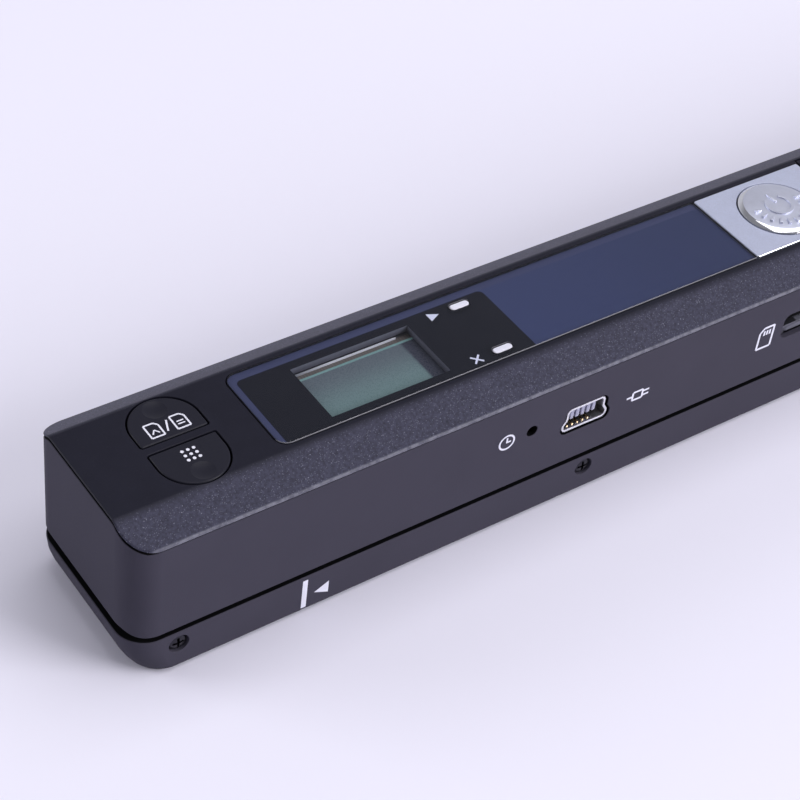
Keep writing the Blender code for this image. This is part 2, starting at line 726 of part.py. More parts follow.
def door_notch():
    """The gap in the middle housing's end wall that the door slides out through."""
    wide = TONGUE_HALF + FIT_GAP
    low = (along(BODY_LENGTH - CORNER_RADIUS), -wide, TONGUE_Z - FIT_GAP)
    return block("door_notch", low, (along(BODY_LENGTH + CUT_OVERRUN), wide, TOP_Z + CUT_OVERRUN))


def view_box(name, grow, start, stop):
    """A block over the display's view, grown sideways."""
    low = (along(VIEW_FROM) - grow, VIEW_Y - VIEW_DEPTH / 2 - grow, start)
    high = (along(VIEW_FROM + VIEW_LENGTH) + grow, VIEW_Y + VIEW_DEPTH / 2 + grow, stop)
    return block(name, low, high)


def view_opening():
    return view_box("view_opening", LCD_MARGIN + FIT_GAP, ROOF_Z - CUT_OVERRUN, RECESS_Z + CUT_OVERRUN)


def make_mid_housing():
    bottom = PARTING_Z + PARTING_GROOVE
    rebate = LIP_INSET - FIT_GAP
    step = bottom + LIP_HEIGHT + FIT_GAP
    top = RIM_THICKNESS + SEAM_GAP
    rings = [body_ring(EDGE_ROUND, bottom),
             body_ring(0, bottom + EDGE_ROUND),
             body_ring(0, below_top(top)),
             body_ring(WALL, below_top(top)),
             body_ring(WALL, step),
             body_ring(rebate, step),
             body_ring(rebate, bottom)]
    housing = finish(loft("mid_housing", rings, closed=True), "housing_plastic")
    for side in (-1, 1):
        join(housing, board_ledge(side))
        join(housing, bay_rib(side))
    join(housing, bay_floor())
    join(housing, bay_wall("bay_front_wall", BAY_WALL_START))
    join(housing, bay_wall("bay_end_wall", BAY_STOP))
    for name, place, side in side_screws():
        add_boss(housing, name, place, side)
    cut(housing, door_notch())
    wall_start = -HALF_DEPTH - CUT_OVERRUN
    wall_stop = -INNER_HALF + CUT_OVERRUN
    cut(housing, prism("usb_opening", usb_outline(-USB_OPENING_GAP), "y", wall_start, wall_stop))
    cut(housing, prism("card_opening", card_opening_outline(), "y", wall_start, wall_stop))
    cut(housing, rod("pinhole", "y", (along(PINHOLE_PLACE), PINHOLE_Z), PINHOLE_RADIUS,
                     wall_start, wall_stop, 20))


def board_ledge(side):
    """The shelf inside a long wall that the main board rests on."""
    near = side * (INNER_HALF - BOARD_LEDGE)
    far = side * (INNER_HALF + WALL / 2)
    low = (along(SENSOR_START), min(near, far), MAIN_BOARD_Z - FIT_GAP - LEDGE_HEIGHT)
    high = (along(BAY_START), max(near, far), MAIN_BOARD_Z - FIT_GAP)
    return block("board_ledge" + str(side), low, high)


def bay_floor():
    reach = INNER_HALF + WALL / 2
    low = (along(BAY_WALL_START), -reach, BAY_Z)
    high = (along(BAY_STOP + BAY_WALL), reach, BAY_FLOOR_TOP)
    return block("bay_floor", low, high)


def bay_wall(name, start):
    reach = INNER_HALF + WALL / 2
    low = (along(start), -reach, BAY_Z)
    high = (along(start + BAY_WALL), reach, BAY_TOP)
    return block(name, low, high)


def bay_rib(side):
    """The rib that keeps the cells in the middle of the bay."""
    near = side * (CELL_DIAMETER / 2 + SIDE_GAP)
    far = near + side * BAY_RIB_THICKNESS
    low = (along(BAY_START - BAY_WALL / 2), min(near, far), BAY_Z)
    high = (along(BAY_STOP + BAY_WALL / 2), max(near, far), BAY_FLOOR_TOP + BAY_RIB_HEIGHT)
    return block("bay_rib" + str(side), low, high)


def side_screws():
    """Name, place along the body and side of each screw."""
    first, second, third, last = SCREW_PLACES
    return (("front_screw_1", first, -1), ("front_screw_2", second, -1), ("front_screw_3", third, -1),
            ("front_screw_4", last, -1), ("back_screw_1", second, 1), ("back_screw_2", last, 1))


def add_boss(housing, name, place, side):
    """The boss that hangs from the middle housing and takes a side screw."""
    middle = along(place)
    near = side * (INNER_HALF - FIT_GAP - BOSS_DEPTH)
    far = side * (INNER_HALF - FIT_GAP)
    wall = side * (INNER_HALF + WALL / 2)
    low = SCREW_Z - BOSS_HALF
    root = PARTING_Z + PARTING_GROOVE + LIP_HEIGHT + 2 * FIT_GAP
    top = root + BOSS_ROOT
    section = [(near, low), (far, low), (far, root), (wall, root), (wall, top), (near, top)]
    rings = [[(x, y, z) for y, z in section] for x in (middle - BOSS_HALF, middle + BOSS_HALF)]
    join(housing, loft(name + "_boss", rings))
    cut(housing, rod(name + "_pilot", "y", (middle, SCREW_Z), SCREW_SHANK_RADIUS + SEAT_GAP,
                     near - side * CUT_OVERRUN, far + side * CUT_OVERRUN, SCREW_SIDES))


def make_lower_housing():
    top = PARTING_Z
    rings = [body_ring(BOTTOM_ROUND, UNDERSIDE_Z),
             body_ring(BOTTOM_ROUND * (1 - math.sqrt(0.5)), UNDERSIDE_Z + BOTTOM_ROUND * (1 - math.sqrt(0.5))),
             body_ring(0, UNDERSIDE_Z + BOTTOM_ROUND),
             body_ring(0, top - EDGE_ROUND),
             body_ring(EDGE_ROUND, top),
             body_ring(LIP_INSET, top),
             body_ring(LIP_INSET, top + PARTING_GROOVE + LIP_HEIGHT),
             body_ring(WALL, top + PARTING_GROOVE + LIP_HEIGHT),
             body_ring(WALL, FLOOR_Z)]
    housing = finish(loft("lower_housing", rings, in_strips=True), "housing_plastic")
    for left in (True, False):
        for side in (-1, 1):
            join(housing, bearing_block(left, side))
    join(housing, encoder_end_block())
    join(housing, encoder_post())
    for left in (True, False):
        for side in (-1, 1):
            cut(housing, bearing_bore(left, side))
            cut(housing, wheel_slot(left, side))
    cut(housing, encoder_bore("encoder_end_bore", WALL + FIT_GAP / 2, WALL + BLOCK_THICKNESS + CUT_OVERRUN))
    cut(housing, encoder_bore("encoder_post_bore", POST_START - CUT_OVERRUN, POST_END + CUT_OVERRUN))
    cut(housing, gear_pocket())
    cut(housing, scan_window())
    for name, place, side in side_screws():
        cut_screw_hole(housing, name, place, side)


def end_seat(left):
    """Distance from the left end of the blind end of the bush's seat."""
    depth = WALL + BLOCK_THICKNESS + BUSH_STAND_OUT - BUSH_LENGTH - FIT_GAP
    return depth if left else BODY_LENGTH - depth


def bearing_block(left, side):
    """The block on an end wall that holds a bush."""
    half = BUSH_RADIUS + SEAT_GAP + BLOCK_MARGIN
    wall = WALL / 2 if left else BODY_LENGTH - WALL / 2
    face = WALL + BLOCK_THICKNESS if left else BODY_LENGTH - WALL - BLOCK_THICKNESS
    middle = side * ROLLER_Y
    low = (along(min(wall, face)), middle - half, FLOOR_Z - FIT_GAP)
    high = (along(max(wall, face)), middle + half, PARTING_Z)
    return block("bearing_block" + str(int(left)) + str(side), low, high)


def bearing_bore(left, side):
    seat = end_seat(left)
    face = WALL + BLOCK_THICKNESS if left else BODY_LENGTH - WALL - BLOCK_THICKNESS
    over = CUT_OVERRUN if left else -CUT_OVERRUN
    return rod("bearing_bore" + str(int(left)) + str(side), "x", (side * ROLLER_Y, ROLLER_Z),
               BUSH_RADIUS + SEAT_GAP, along(seat), along(face + over))


def wheel_start(left):
    return LEFT_WHEEL if left else RIGHT_WHEEL


def wheel_slot(left, side):
    """The opening in the floor that a wheel reaches the paper through."""
    rise = ROLLER_Z - FLOOR_Z
    half = math.sqrt(WHEEL_RADIUS ** 2 - rise ** 2) + SLOT_MARGIN
    start = wheel_start(left)
    low = (along(start - SLOT_MARGIN), side * ROLLER_Y - half, UNDERSIDE_Z - CUT_OVERRUN)
    high = (along(start + WHEEL_WIDTH + SLOT_MARGIN), side * ROLLER_Y + half, FLOOR_Z + CUT_OVERRUN)
    return block("wheel_slot" + str(int(left)) + str(side), low, high)


def encoder_axis():
    """Y and Z of the encoder wheel's axis: in mesh with the rear roller's gear."""
    distance = GEAR_MODULE * (GEAR_TEETH + PINION_TEETH) / 2
    return (ROLLER_Y + distance * math.cos(ENCODER_ANGLE), ROLLER_Z + distance * math.sin(ENCODER_ANGLE))


def disc_radius():
    distance = GEAR_MODULE * (GEAR_TEETH + PINION_TEETH) / 2
    return distance - SHAFT_RADIUS - SIDE_GAP


def bearing_column(name, start, stop):
    """A column that rises from the floor round the encoder wheel's axle."""
    y, z = encoder_axis()
    half = ENCODER_AXLE_RADIUS + SEAT_GAP + BLOCK_MARGIN
    return block(name, (along(start), y - half, FLOOR_Z - FIT_GAP), (along(stop), y + half, z + half))


def encoder_end_block():
    return bearing_column("encoder_end_block", WALL + FIT_GAP, WALL + BLOCK_THICKNESS)


def encoder_post():
    return bearing_column("encoder_post", POST_START, POST_END)


def encoder_bore(name, start, stop):
    return rod(name, "x", encoder_axis(), ENCODER_AXLE_RADIUS + SEAT_GAP, along(start), along(stop))


def gear_tip_radius(teeth):
    return GEAR_MODULE * (teeth / 2 + ADDENDUM_SHARE)


def gear_pocket():
    """A hollow in the floor below the drive gear."""
    tip = gear_tip_radius(GEAR_TEETH)
    low = (along(GEAR_START - SIDE_GAP), ROLLER_Y - tip - FIT_GAP, ROLLER_Z - tip - FIT_GAP)
    high = (along(GEAR_END + SIDE_GAP), ROLLER_Y + tip + FIT_GAP, FLOOR_Z + CUT_OVERRUN)
    return block("gear_pocket", low, high)


def scan_window():
    """The long opening in the floor that the scan glass lies in."""
    half = GLASS_WIDTH / 2 + FIT_GAP
    low = (along(SCAN_START - GLASS_END - FIT_GAP), -half, UNDERSIDE_Z - CUT_OVERRUN)
    high = (along(SCAN_START + SCAN_WIDTH + GLASS_END + FIT_GAP), half, FLOOR_Z + CUT_OVERRUN)
    return block("scan_window", low, high)


def cut_screw_hole(housing, name, place, side):
    """A counterbore for the head and a hole for the shank."""
    middle = (along(place), SCREW_Z)
    seat = side * (HALF_DEPTH - SCREW_RECESS - SCREW_HEAD_HEIGHT - SEAT_GAP)
    cut(housing, rod(name + "_counterbore", "y", middle, SCREW_HEAD_RADIUS + SCREW_BORE_GAP,
                     seat, side * (HALF_DEPTH + CUT_OVERRUN), SCREW_SIDES))
    cut(housing, rod(name + "_hole", "y", middle, SCREW_SHANK_RADIUS + SEAT_GAP,
                     side * (INNER_HALF - CUT_OVERRUN), side * HALF_DEPTH, SCREW_SIDES))


def make_screw(name, place, side):
    """A cross-head screw in the lower housing's wall."""
    middle = (along(place), SCREW_Z)
    face = HALF_DEPTH - SCREW_RECESS
    under = face - SCREW_HEAD_HEIGHT
    edge = SCREW_HEAD_HEIGHT / 4
    profile = [(SCREW_HEAD_RADIUS - edge, side * face), (SCREW_HEAD_RADIUS, side * (face - edge)),
               (SCREW_HEAD_RADIUS, side * under), (SCREW_SHANK_RADIUS, side * under),
               (SCREW_SHANK_RADIUS, side * (under - SCREW_LENGTH))]
    screw = turned(name, "y", middle, profile, SCREW_SIDES)
    finish(screw, "black_steel")
    long = CROSS_LENGTH / 2
    thin = CROSS_WIDTH / 2
    deep = sorted((side * (face - CROSS_DEPTH), side * (face + CUT_OVERRUN)))
    for part, (wide, tall) in enumerate(((long, thin), (thin, long))):
        low = (middle[0] - wide, deep[0], middle[1] - tall)
        high = (middle[0] + wide, deep[1], middle[1] + tall)
        cut(screw, block(name + "_cross" + str(part), low, high))


# Battery door and bay

def make_battery_door():
    """The cover of the battery bay: it slides out over the right end."""
    root = DOOR_HALF - TONGUE_ROOT
    section = [(-TONGUE_HALF, TONGUE_Z), (-root, TONGUE_Z), (-root, DOOR_Z), (root, DOOR_Z),
               (root, TONGUE_Z), (TONGUE_HALF, TONGUE_Z), (TONGUE_HALF, DOOR_Z), (DOOR_HALF, DOOR_Z),
               (DOOR_HALF, TOP_Z), (-DOOR_HALF, TOP_Z), (-DOOR_HALF, DOOR_Z), (-TONGUE_HALF, DOOR_Z)]
    rings = [[(along(x), y, z) for y, z in section] for x in (DOOR_START, BODY_LENGTH)]
    middle = (along((DOOR_START + BODY_LENGTH) / 2), 0, DOOR_Z)
    door = finish(loft("battery_door", rings, middle), "flecked_paint")
    soften(door, PLATE_EDGE)
    grips = []
    for number in range(DOOR_RIBS):
        x = along(DOOR_START + DOOR_RIB_START + number * DOOR_RIB_PITCH)
        grips.append(((x, -DOOR_RIB_LENGTH / 2, TOP_Z - DOOR_RIB_DEPTH),
                      (x + DOOR_RIB_WIDTH, DOOR_RIB_LENGTH / 2, TOP_Z + CUT_OVERRUN)))
    return cut(door, blocks("door_grips", grips))


def make_cell(name, start):
    """An AA cell with its positive end to the right."""
    radius = CELL_DIAMETER / 2
    shoulder = start + CELL_LENGTH - NUB_HEIGHT
    profile = [(radius - CELL_EDGE, start), (radius, start + CELL_EDGE), (radius, shoulder - CELL_EDGE),
               (radius - CELL_EDGE, shoulder), (NUB_RADIUS, shoulder), (NUB_RADIUS, start + CELL_LENGTH)]
    cell = turned(name, "x", (0, CELL_Z), [(r, along(a)) for r, a in profile], CELL_SIDES)
    return finish(cell, "cell_wrap")


def spring_path():
    """Centre line of the conical spring, from inside its plate to just short of the cell."""
    first = along(SPRING_PLATE + CONTACT_THICKNESS / 2)
    last = along(CELL_START - FIT_GAP) - SPRING_WIRE
    count = SPRING_TURNS * SPRING_STEPS
    points = []
    for step in range(count + 1):
        share = step / count
        angle = 2 * math.pi * SPRING_TURNS * share
        radius = SPRING_BASE_RADIUS + (SPRING_TIP_RADIUS - SPRING_BASE_RADIUS) * share
        points.append(Vector((first + (last - first) * share,
                              radius * math.cos(angle), CELL_Z + radius * math.sin(angle))))
    return points


def least_self_gap(points, radius):
    """Smallest gap between turns of a tube, measured on its centre line's points."""
    apart = SPRING_STEPS // 2
    pairs = ((p, q) for i, p in enumerate(points) for q in points[i + apart:])
    return min((p - q).length for p, q in pairs) - 2 * radius


def tube_rings(points, radius, sides):
    """Rings square to a path that winds round the cells' axis."""
    rings = []
    for i, point in enumerate(points):
        ahead = points[min(i + 1, len(points) - 1)] - points[max(i - 1, 0)]
        outward = Vector((0, point.y, point.z - CELL_Z)).normalized()
        sideways = ahead.normalized().cross(outward).normalized()
        ring = []
        for side in range(sides):
            angle = 2 * math.pi * side / sides
            ring.append(point + radius * (math.cos(angle) * outward + math.sin(angle) * sideways))
        rings.append(ring)
    return rings


def contact_block(name, start):
    half = CONTACT_SIZE / 2
    return block(name, (along(start), -half, CELL_Z - half),
                 (along(start + CONTACT_THICKNESS), half, CELL_Z + half))


def make_battery_contacts():
    path = spring_path()
    print("least gap between the battery spring's turns, mm:", round(least_self_gap(path, SPRING_WIRE) / MM, 3))
    spring = contact_block("battery_spring", SPRING_PLATE)
    coil = loft("spring_coil", tube_rings(path, SPRING_WIRE, SPRING_WIRE_SIDES))
    finish(join(spring, coil), "steel")
    finish(contact_block("battery_contact", CONTACT_START), "steel")


# Keys, button and switches

def key_outline(side, grow, flat_grow):
    """A D with its flat edge near the middle line and its round end outwards."""
    radius = KEY_RADIUS + grow
    near = side * (KEY_NEAR - flat_grow)
    centre = side * (KEY_TIP - KEY_RADIUS)
    middle = along(KEY_PLACE)
    points = [(middle - radius, near), (middle + radius, near)]
    for step in range(KEY_ARC_STEPS + 1):
        angle = math.pi * step / KEY_ARC_STEPS
        points.append((middle + radius * math.cos(angle), centre + side * radius * math.sin(angle)))
    return points


def make_key(name, side, axis):
    def ring(grow, flat_grow, z):
        return [(x, y, z) for x, y in key_outline(side, grow, flat_grow)]
    rings = [ring(KEY_FLANGE, KEY_FLAT_FLANGE, KEY_Z), ring(KEY_FLANGE, KEY_FLAT_FLANGE, FLANGE_TOP),
             ring(0, 0, FLANGE_TOP), ring(0, 0, TOP_Z - KEY_EDGE), ring(-KEY_EDGE, -KEY_EDGE, TOP_Z)]
    origin = (along(KEY_PLACE), side * KEY_MIDDLE, TOP_Z)
    key = finish(loft(name, rings, origin), "key_plastic")
    dish = [(DIMPLE_RADIUS, TOP_Z + CUT_OVERRUN), (DIMPLE_RADIUS, TOP_Z),
            (DIMPLE_RADIUS * DIMPLE_MIDDLE_SHARE, TOP_Z - DIMPLE_DEPTH * DIMPLE_MIDDLE_SHARE),
            (DIMPLE_RADIUS * DIMPLE_FLOOR_SHARE, TOP_Z - DIMPLE_DEPTH)]
    place = (along(KEY_PLACE), side * (KEY_TIP - DIMPLE_FROM_TIP))
    cut(key, turned(name + "_dimple", "z", place, dish, 20))
    carry(axis, key)


def make_scan_button(axis):
    """The round button: a flange below the cover, a rim, a bevel and a low dome."""
    top = WINDOW_TOP + BUTTON_RIM_RISE
    shoulder = top + BUTTON_BEVEL_RISE
    inner = BUTTON_RADIUS - BUTTON_BEVEL_WIDTH
    profile = [(BUTTON_RADIUS + BUTTON_FLANGE, KEY_Z), (BUTTON_RADIUS + BUTTON_FLANGE, FLANGE_TOP),
               (BUTTON_RADIUS, FLANGE_TOP), (BUTTON_RADIUS, top), (inner, shoulder)]
    for share in DOME_SHARES:
        profile.append((inner * share, shoulder + BUTTON_DOME * (1 - share * share)))
    button = turned("scan_button", "z", (along(BUTTON_PLACE), 0), profile, BUTTON_SIDES)
    carry(axis, finish(button, "chrome"))


def make_switch(name, middle):
    """A push switch on the display board, with a well for its plunger."""
    half = SWITCH_SIZE / 2
    x, y = middle
    switch = block(name, (x - half, y - half, SWITCH_Z), (x + half, y + half, SWITCH_TOP))
    finish(switch, "black_plastic")
    well = rod(name + "_well", "z", middle, PLUNGER_RADIUS + SEAT_GAP,
               SWITCH_Z + SWITCH_FLOOR, SWITCH_TOP + CUT_OVERRUN)
    cut(switch, well)


def make_plunger(name, middle, axis):
    plunger = rod(name, "z", middle, PLUNGER_RADIUS, SWITCH_TOP - PLUNGER_TUCK, PLUNGER_TOP)
    carry(axis, finish(plunger, "acetal"))


def make_time_switch(axis):
    """The side switch behind the pinhole, and its plunger."""
    middle = (along(PINHOLE_PLACE), PINHOLE_Z)
    tip = -BOARD_HALF
    face = tip + TIME_PLUNGER_RISE
    half = TIME_SWITCH_WIDTH / 2
    switch = block("time_switch", (middle[0] - half, face, PARTS_Z),
                   (middle[0] + half, face + TIME_SWITCH_DEPTH, PINHOLE_Z + TIME_SWITCH_ABOVE))
    finish(switch, "black_plastic")
    inner = face + TIME_PLUNGER_TUCK
    cut(switch, rod("time_switch_well", "y", middle, TIME_PLUNGER_RADIUS + SEAT_GAP,
                    face - CUT_OVERRUN, inner + TIME_PLUNGER_ROOM))
    plunger = rod("time_plunger", "y", middle, TIME_PLUNGER_RADIUS, tip, inner)
    carry(axis, finish(plunger, "acetal"))


# Display, lights and silver plate

def make_window():
    low = (along(WINDOW_START), -WINDOW_HALF)
    high = (along(WINDOW_END), WINDOW_HALF)
    outline = rounded_outline(low, high, (WINDOW_CORNER, 0, 0, WINDOW_CORNER))
    window = finish(prism("display_window", outline, "z", WINDOW_Z, WINDOW_TOP), "window_acrylic")
    soften(window, WINDOW_EDGE)
    inset = MASK_INSET
    low = (low[0] + inset, low[1] + inset)
    high = (high[0] - inset, high[1] - inset)
    radius = WINDOW_CORNER - inset
    outline = rounded_outline(low, high, (radius, 0, 0, radius))
    mask = finish(prism("window_mask", outline, "z", MASK_Z, MASK_Z + MASK_THICKNESS), "printed_film")
    cut(mask, view_box("mask_view", 0, MASK_Z - CUT_OVERRUN, WINDOW_Z))
    for name, y in (("scan_light", SCAN_LIGHT_Y), ("error_light", ERROR_LIGHT_Y)):
        middle = (along(LIGHT_PLACE), y)
        outline = pill_outline(middle, LIGHT_LENGTH, LIGHT_WIDTH, FILM_GAP)
        cut(window, prism(name + "_window_hole", outline, "z", WINDOW_Z - CUT_OVERRUN, WINDOW_TOP + CUT_OVERRUN))
        cut(mask, prism(name + "_mask_hole", outline, "z", MASK_Z - CUT_OVERRUN, WINDOW_TOP))
        make_light(name, middle)


def make_light(name, middle):
    """A light pipe from the display board up to the window's surface."""
    def ring(grow, z):
        return [(x, y, z) for x, y in pill_outline(middle, LIGHT_LENGTH, LIGHT_WIDTH, grow)]
    rings = [ring(0, DISPLAY_BOARD_TOP + FIT_GAP), ring(0, FLANGE_TOP - LIGHT_FLANGE_THICKNESS),
             ring(LIGHT_FLANGE, FLANGE_TOP - LIGHT_FLANGE_THICKNESS), ring(LIGHT_FLANGE, FLANGE_TOP),
             ring(0, FLANGE_TOP), ring(0, WINDOW_TOP)]
    finish(loft(name, rings, (*middle, WINDOW_TOP)), "white_plastic")


def make_display():
    glass_top = LCD_FRAME_TOP + LCD_PROUD
    glass_z = glass_top - LCD_THICKNESS
    frame = view_box("lcd_frame", LCD_MARGIN + LCD_FRAME_SIDE, LCD_FRAME_Z, LCD_FRAME_TOP)
    finish(frame, "black_plastic")
    cut(frame, view_box("lcd_pocket", LCD_MARGIN + FILM_GAP, glass_z - FILM_GAP, LCD_FRAME_TOP + CUT_OVERRUN))
    finish(view_box("lcd_glass", LCD_MARGIN, glass_z, glass_top), "display_glass")


def make_plate():
    low = (along(PLATE_START), -WINDOW_HALF, RECESS_Z + FILM_GAP)
    high = (along(PLATE_END), WINDOW_HALF, WINDOW_TOP)
    plate = finish(block("button_plate", low, high), "silver_paint")
    soften(plate, PLATE_EDGE)
    cut(plate, rod("plate_hole", "z", (along(BUTTON_PLACE), 0), BUTTON_RADIUS + EDGE_GAP,
                   RECESS_Z - CUT_OVERRUN, WINDOW_TOP + CUT_OVERRUN, BUTTON_SIDES))


# Boards

def make_boards():
    board = block("main_board", (along(SENSOR_START), -BOARD_HALF, MAIN_BOARD_Z),
                  (along(MAIN_BOARD_STOP), BOARD_HALF, MAIN_BOARD_TOP))
    finish(board, "circuit_board")
    board = block("display_board", (along(BOARD_START), -BOARD_HALF, DISPLAY_BOARD_Z),
                  (along(DISPLAY_BOARD_STOP), BOARD_HALF, DISPLAY_BOARD_TOP))
    finish(board, "circuit_board")
    edge = BOARD_HALF - HEADER_EDGE
    header = block("board_connector", (along(HEADER_PLACE), edge - HEADER_WIDTH, PARTS_Z),
                   (along(HEADER_PLACE + HEADER_LENGTH), edge, DISPLAY_BOARD_Z - FIT_GAP))
    finish(header, "black_plastic")
    make_chip("main_chip", CHIP_PLACE, CHIP_SIZE, CHIP_SIZE, CHIP_HEIGHT)
    make_chip("memory_chip", SLOT_PLACE - MEMORY_TO_SLOT - MEMORY_LENGTH,
              MEMORY_LENGTH, MEMORY_WIDTH, MEMORY_HEIGHT)


def make_chip(name, start, length, width, height):
    chip = block(name, (along(start), -width / 2, PARTS_Z), (along(start + length), width / 2, PARTS_Z + height))
    finish(soften(chip, height / 8, 1), "black_plastic")


# Sockets in the front wall

def usb_outline(inset):
    """The socket's section: wide below, stepped in above, drawn in by inset."""
    wide = USB_WIDTH / 2 - inset
    narrow = USB_TOP_WIDTH / 2 - inset
    tall = USB_HEIGHT / 2 - inset
    corner = USB_CORNER
    half = [(wide - corner, -tall), (wide, corner - tall), (wide, -USB_NECK_LOW),
            (narrow, USB_NECK_HIGH), (narrow, tall - corner), (narrow - corner, tall)]
    mirrored = [(-u, v) for u, v in reversed(half)]
    return [(along(USB_PLACE) + u, USB_Z + v) for u, v in half + mirrored]


def make_usb():
    front = USB_RECESS - HALF_DEPTH
    back = front + USB_LENGTH
    outer = usb_outline(0)
    inner = usb_outline(USB_SHEET)
    rings = [[(u, y, v) for u, v in outline] for outline, y in
             ((outer, front), (outer, back), (inner, back), (inner, front))]
    finish(loft("usb_shell", rings, (along(USB_PLACE), front, USB_Z), closed=True), "steel")
    filling = usb_outline(USB_SHEET + FILM_GAP)
    insert = prism("usb_insert", filling, "y", back - USB_PLUG_BLOCK, back - FILM_GAP)
    finish(insert, "black_plastic")
    half = USB_TOP_WIDTH / 2 - TONGUE_CLEAR / 2
    low = (along(USB_PLACE) - half, front + TONGUE_SETBACK, USB_Z + TONGUE_RISE - TONGUE_SHEET / 2)
    high = (along(USB_PLACE) + half, back - USB_PLUG_BLOCK / 2, USB_Z + TONGUE_RISE + TONGUE_SHEET / 2)
    join(insert, block("usb_tongue", low, high))


def card_opening_outline():
    low = (along(SLOT_PLACE), PARTS_Z - FIT_GAP)
    high = (along(SLOT_PLACE + SLOT_WIDTH), PARTS_Z - FIT_GAP + SLOT_HEIGHT)
    return rounded_outline(low, high, (SLOT_CORNER,) * 4)


def make_card_socket(axis):
    """The push-in card socket on the main board, and the card in it."""
    middle = along(SLOT_PLACE + SLOT_WIDTH / 2)
    front = SOCKET_SETBACK - HALF_DEPTH
    card_front = front + CARD_GAP
    card_back = card_front + CARD_LENGTH
    half = CARD_WIDTH / 2 + SOCKET_SIDE
    socket = block("card_socket", (middle - half, front, PARTS_Z),
                   (middle + half, card_back + CARD_GAP + SOCKET_BACK, PARTS_Z + SOCKET_HEIGHT))
    finish(socket, "steel")
    half = CARD_WIDTH / 2
    floor = PARTS_Z + SOCKET_FLOOR
    cut(socket, block("card_way", (middle - half - CARD_GAP, front - CUT_OVERRUN, floor - CARD_GAP),
                      (middle + half + CARD_GAP, card_back + CARD_GAP, floor + CARD_THICKNESS + CARD_GAP)))
    card = block("memory_card", (middle - half, card_front, floor), (middle + half, card_back, floor + CARD_THICKNESS))
    carry(axis, finish(card, "black_plastic"))


# Contact image sensor

def make_sensor():
    ends = (along(SENSOR_START), along(SENSOR_STOP))
    housing = block("sensor_housing", (ends[0], -SENSOR_HALF, SENSOR_Z), (ends[1], SENSOR_HALF, SENSOR_TOP))
    finish(housing, "black_plastic")
    lens_half = LENS_WIDTH / 2
    start, stop = along(SCAN_START), along(SCAN_START + SCAN_WIDTH)
    lens = ((start, LENS_OFFSET - lens_half, LENS_Z), (stop, LENS_OFFSET + lens_half, LENS_Z + LENS_HEIGHT))
    finish(block("rod_lens_array", *lens), "clear_acrylic")
    half = SENSOR_BOARD_WIDTH / 2
    board = ((start, -half, SENSOR_BOARD_Z), (stop, half, SENSOR_BOARD_TOP))
    finish(block("sensor_board", *board), "circuit_board")
    guide_z = SENSOR_Z + GUIDE_RISE
    guide = light_guide_outline(guide_z)
    finish(prism("light_guide", guide, "x", start, stop), "clear_acrylic")
    cut(housing, room_round("board_room", board, SENSOR_BOARD_Z - FIT_GAP, SENSOR_TOP + CUT_OVERRUN))
    cut(housing, room_round("lens_room", lens, SENSOR_Z - CUT_OVERRUN, SENSOR_BOARD_Z))
    half = GUIDE_WIDTH / 2
    guide_box = ((start, -GUIDE_OFFSET - half, guide_z), (stop, half - GUIDE_OFFSET, guide_z + GUIDE_HEIGHT))
    cut(housing, room_round("guide_room", guide_box, SENSOR_Z - CUT_OVERRUN, guide_z + GUIDE_HEIGHT + FIT_GAP))
    half = GLASS_WIDTH / 2
    glass_z = UNDERSIDE_Z + GLASS_RECESS
    glass = block("scan_glass", (start - GLASS_END, -half, glass_z), (stop + GLASS_END, half, glass_z + GLASS_THICKNESS))
    finish(glass, "scan_glass")


def room_round(name, corners, start, stop):
    """A block round a piece with a gap at its sides and ends, between two heights."""
    low, high = corners
    return block(name, (low[0] - FIT_GAP, low[1] - FIT_GAP, start), (high[0] + FIT_GAP, high[1] + FIT_GAP, stop))


def light_guide_outline(z):
    """A bar with one corner cut off, towards the scanned line."""
    near = GUIDE_WIDTH / 2 - GUIDE_OFFSET
    far = -GUIDE_WIDTH / 2 - GUIDE_OFFSET
    return [(far, z), (near - GUIDE_CORNER, z), (near, z + GUIDE_CORNER),
            (near, z + GUIDE_HEIGHT), (far, z + GUIDE_HEIGHT)]


def make_flat_cable():
    """The ribbon from the sensor up to the main board: two straight runs and one bend."""
    half = CABLE_THICKNESS / 2
    lower = SENSOR_BOARD_TOP + FIT_GAP + half
    upper = MAIN_BOARD_Z - FIT_GAP - half
    bend = (upper - lower) / 2
    start = along(SENSOR_START + CABLE_START)
    turn = start + CABLE_LOWER_RUN
    inner = [(start, lower + half)]
    outer = [(start, lower - half)]
    for step in range(CABLE_BEND_STEPS + 1):
        angle = math.pi * (step / CABLE_BEND_STEPS - 1 / 2)
        for line, radius in ((inner, bend - half), (outer, bend + half)):
            line.append((turn + radius * math.cos(angle), lower + bend + radius * math.sin(angle)))
    inner.append((turn - CABLE_UPPER_RUN, upper - half))
    outer.append((turn - CABLE_UPPER_RUN, upper + half))
    outline = inner + outer[::-1]
    finish(prism("flat_cable", outline, "y", -CABLE_WIDTH / 2, CABLE_WIDTH / 2), "cable_film")


# Rollers, gear train and encoder

def make_bush(left, side):
    inner = WALL + BLOCK_THICKNESS + BUSH_STAND_OUT
    places = [inner - BUSH_LENGTH, inner] if left else [BODY_LENGTH - inner, BODY_LENGTH - inner + BUSH_LENGTH]
    bore = SHAFT_RADIUS + RUN_GAP
    first, last = (along(a) for a in places)
    profile = [(BUSH_RADIUS, first), (BUSH_RADIUS, last), (bore, last), (bore, first)]
    name = ("rear_" if side > 0 else "front_") + ("left" if left else "right") + "_bush"
    finish(turned(name, "x", (side * ROLLER_Y, ROLLER_Z), profile, SHAFT_SIDES, hollow=True), "bronze")


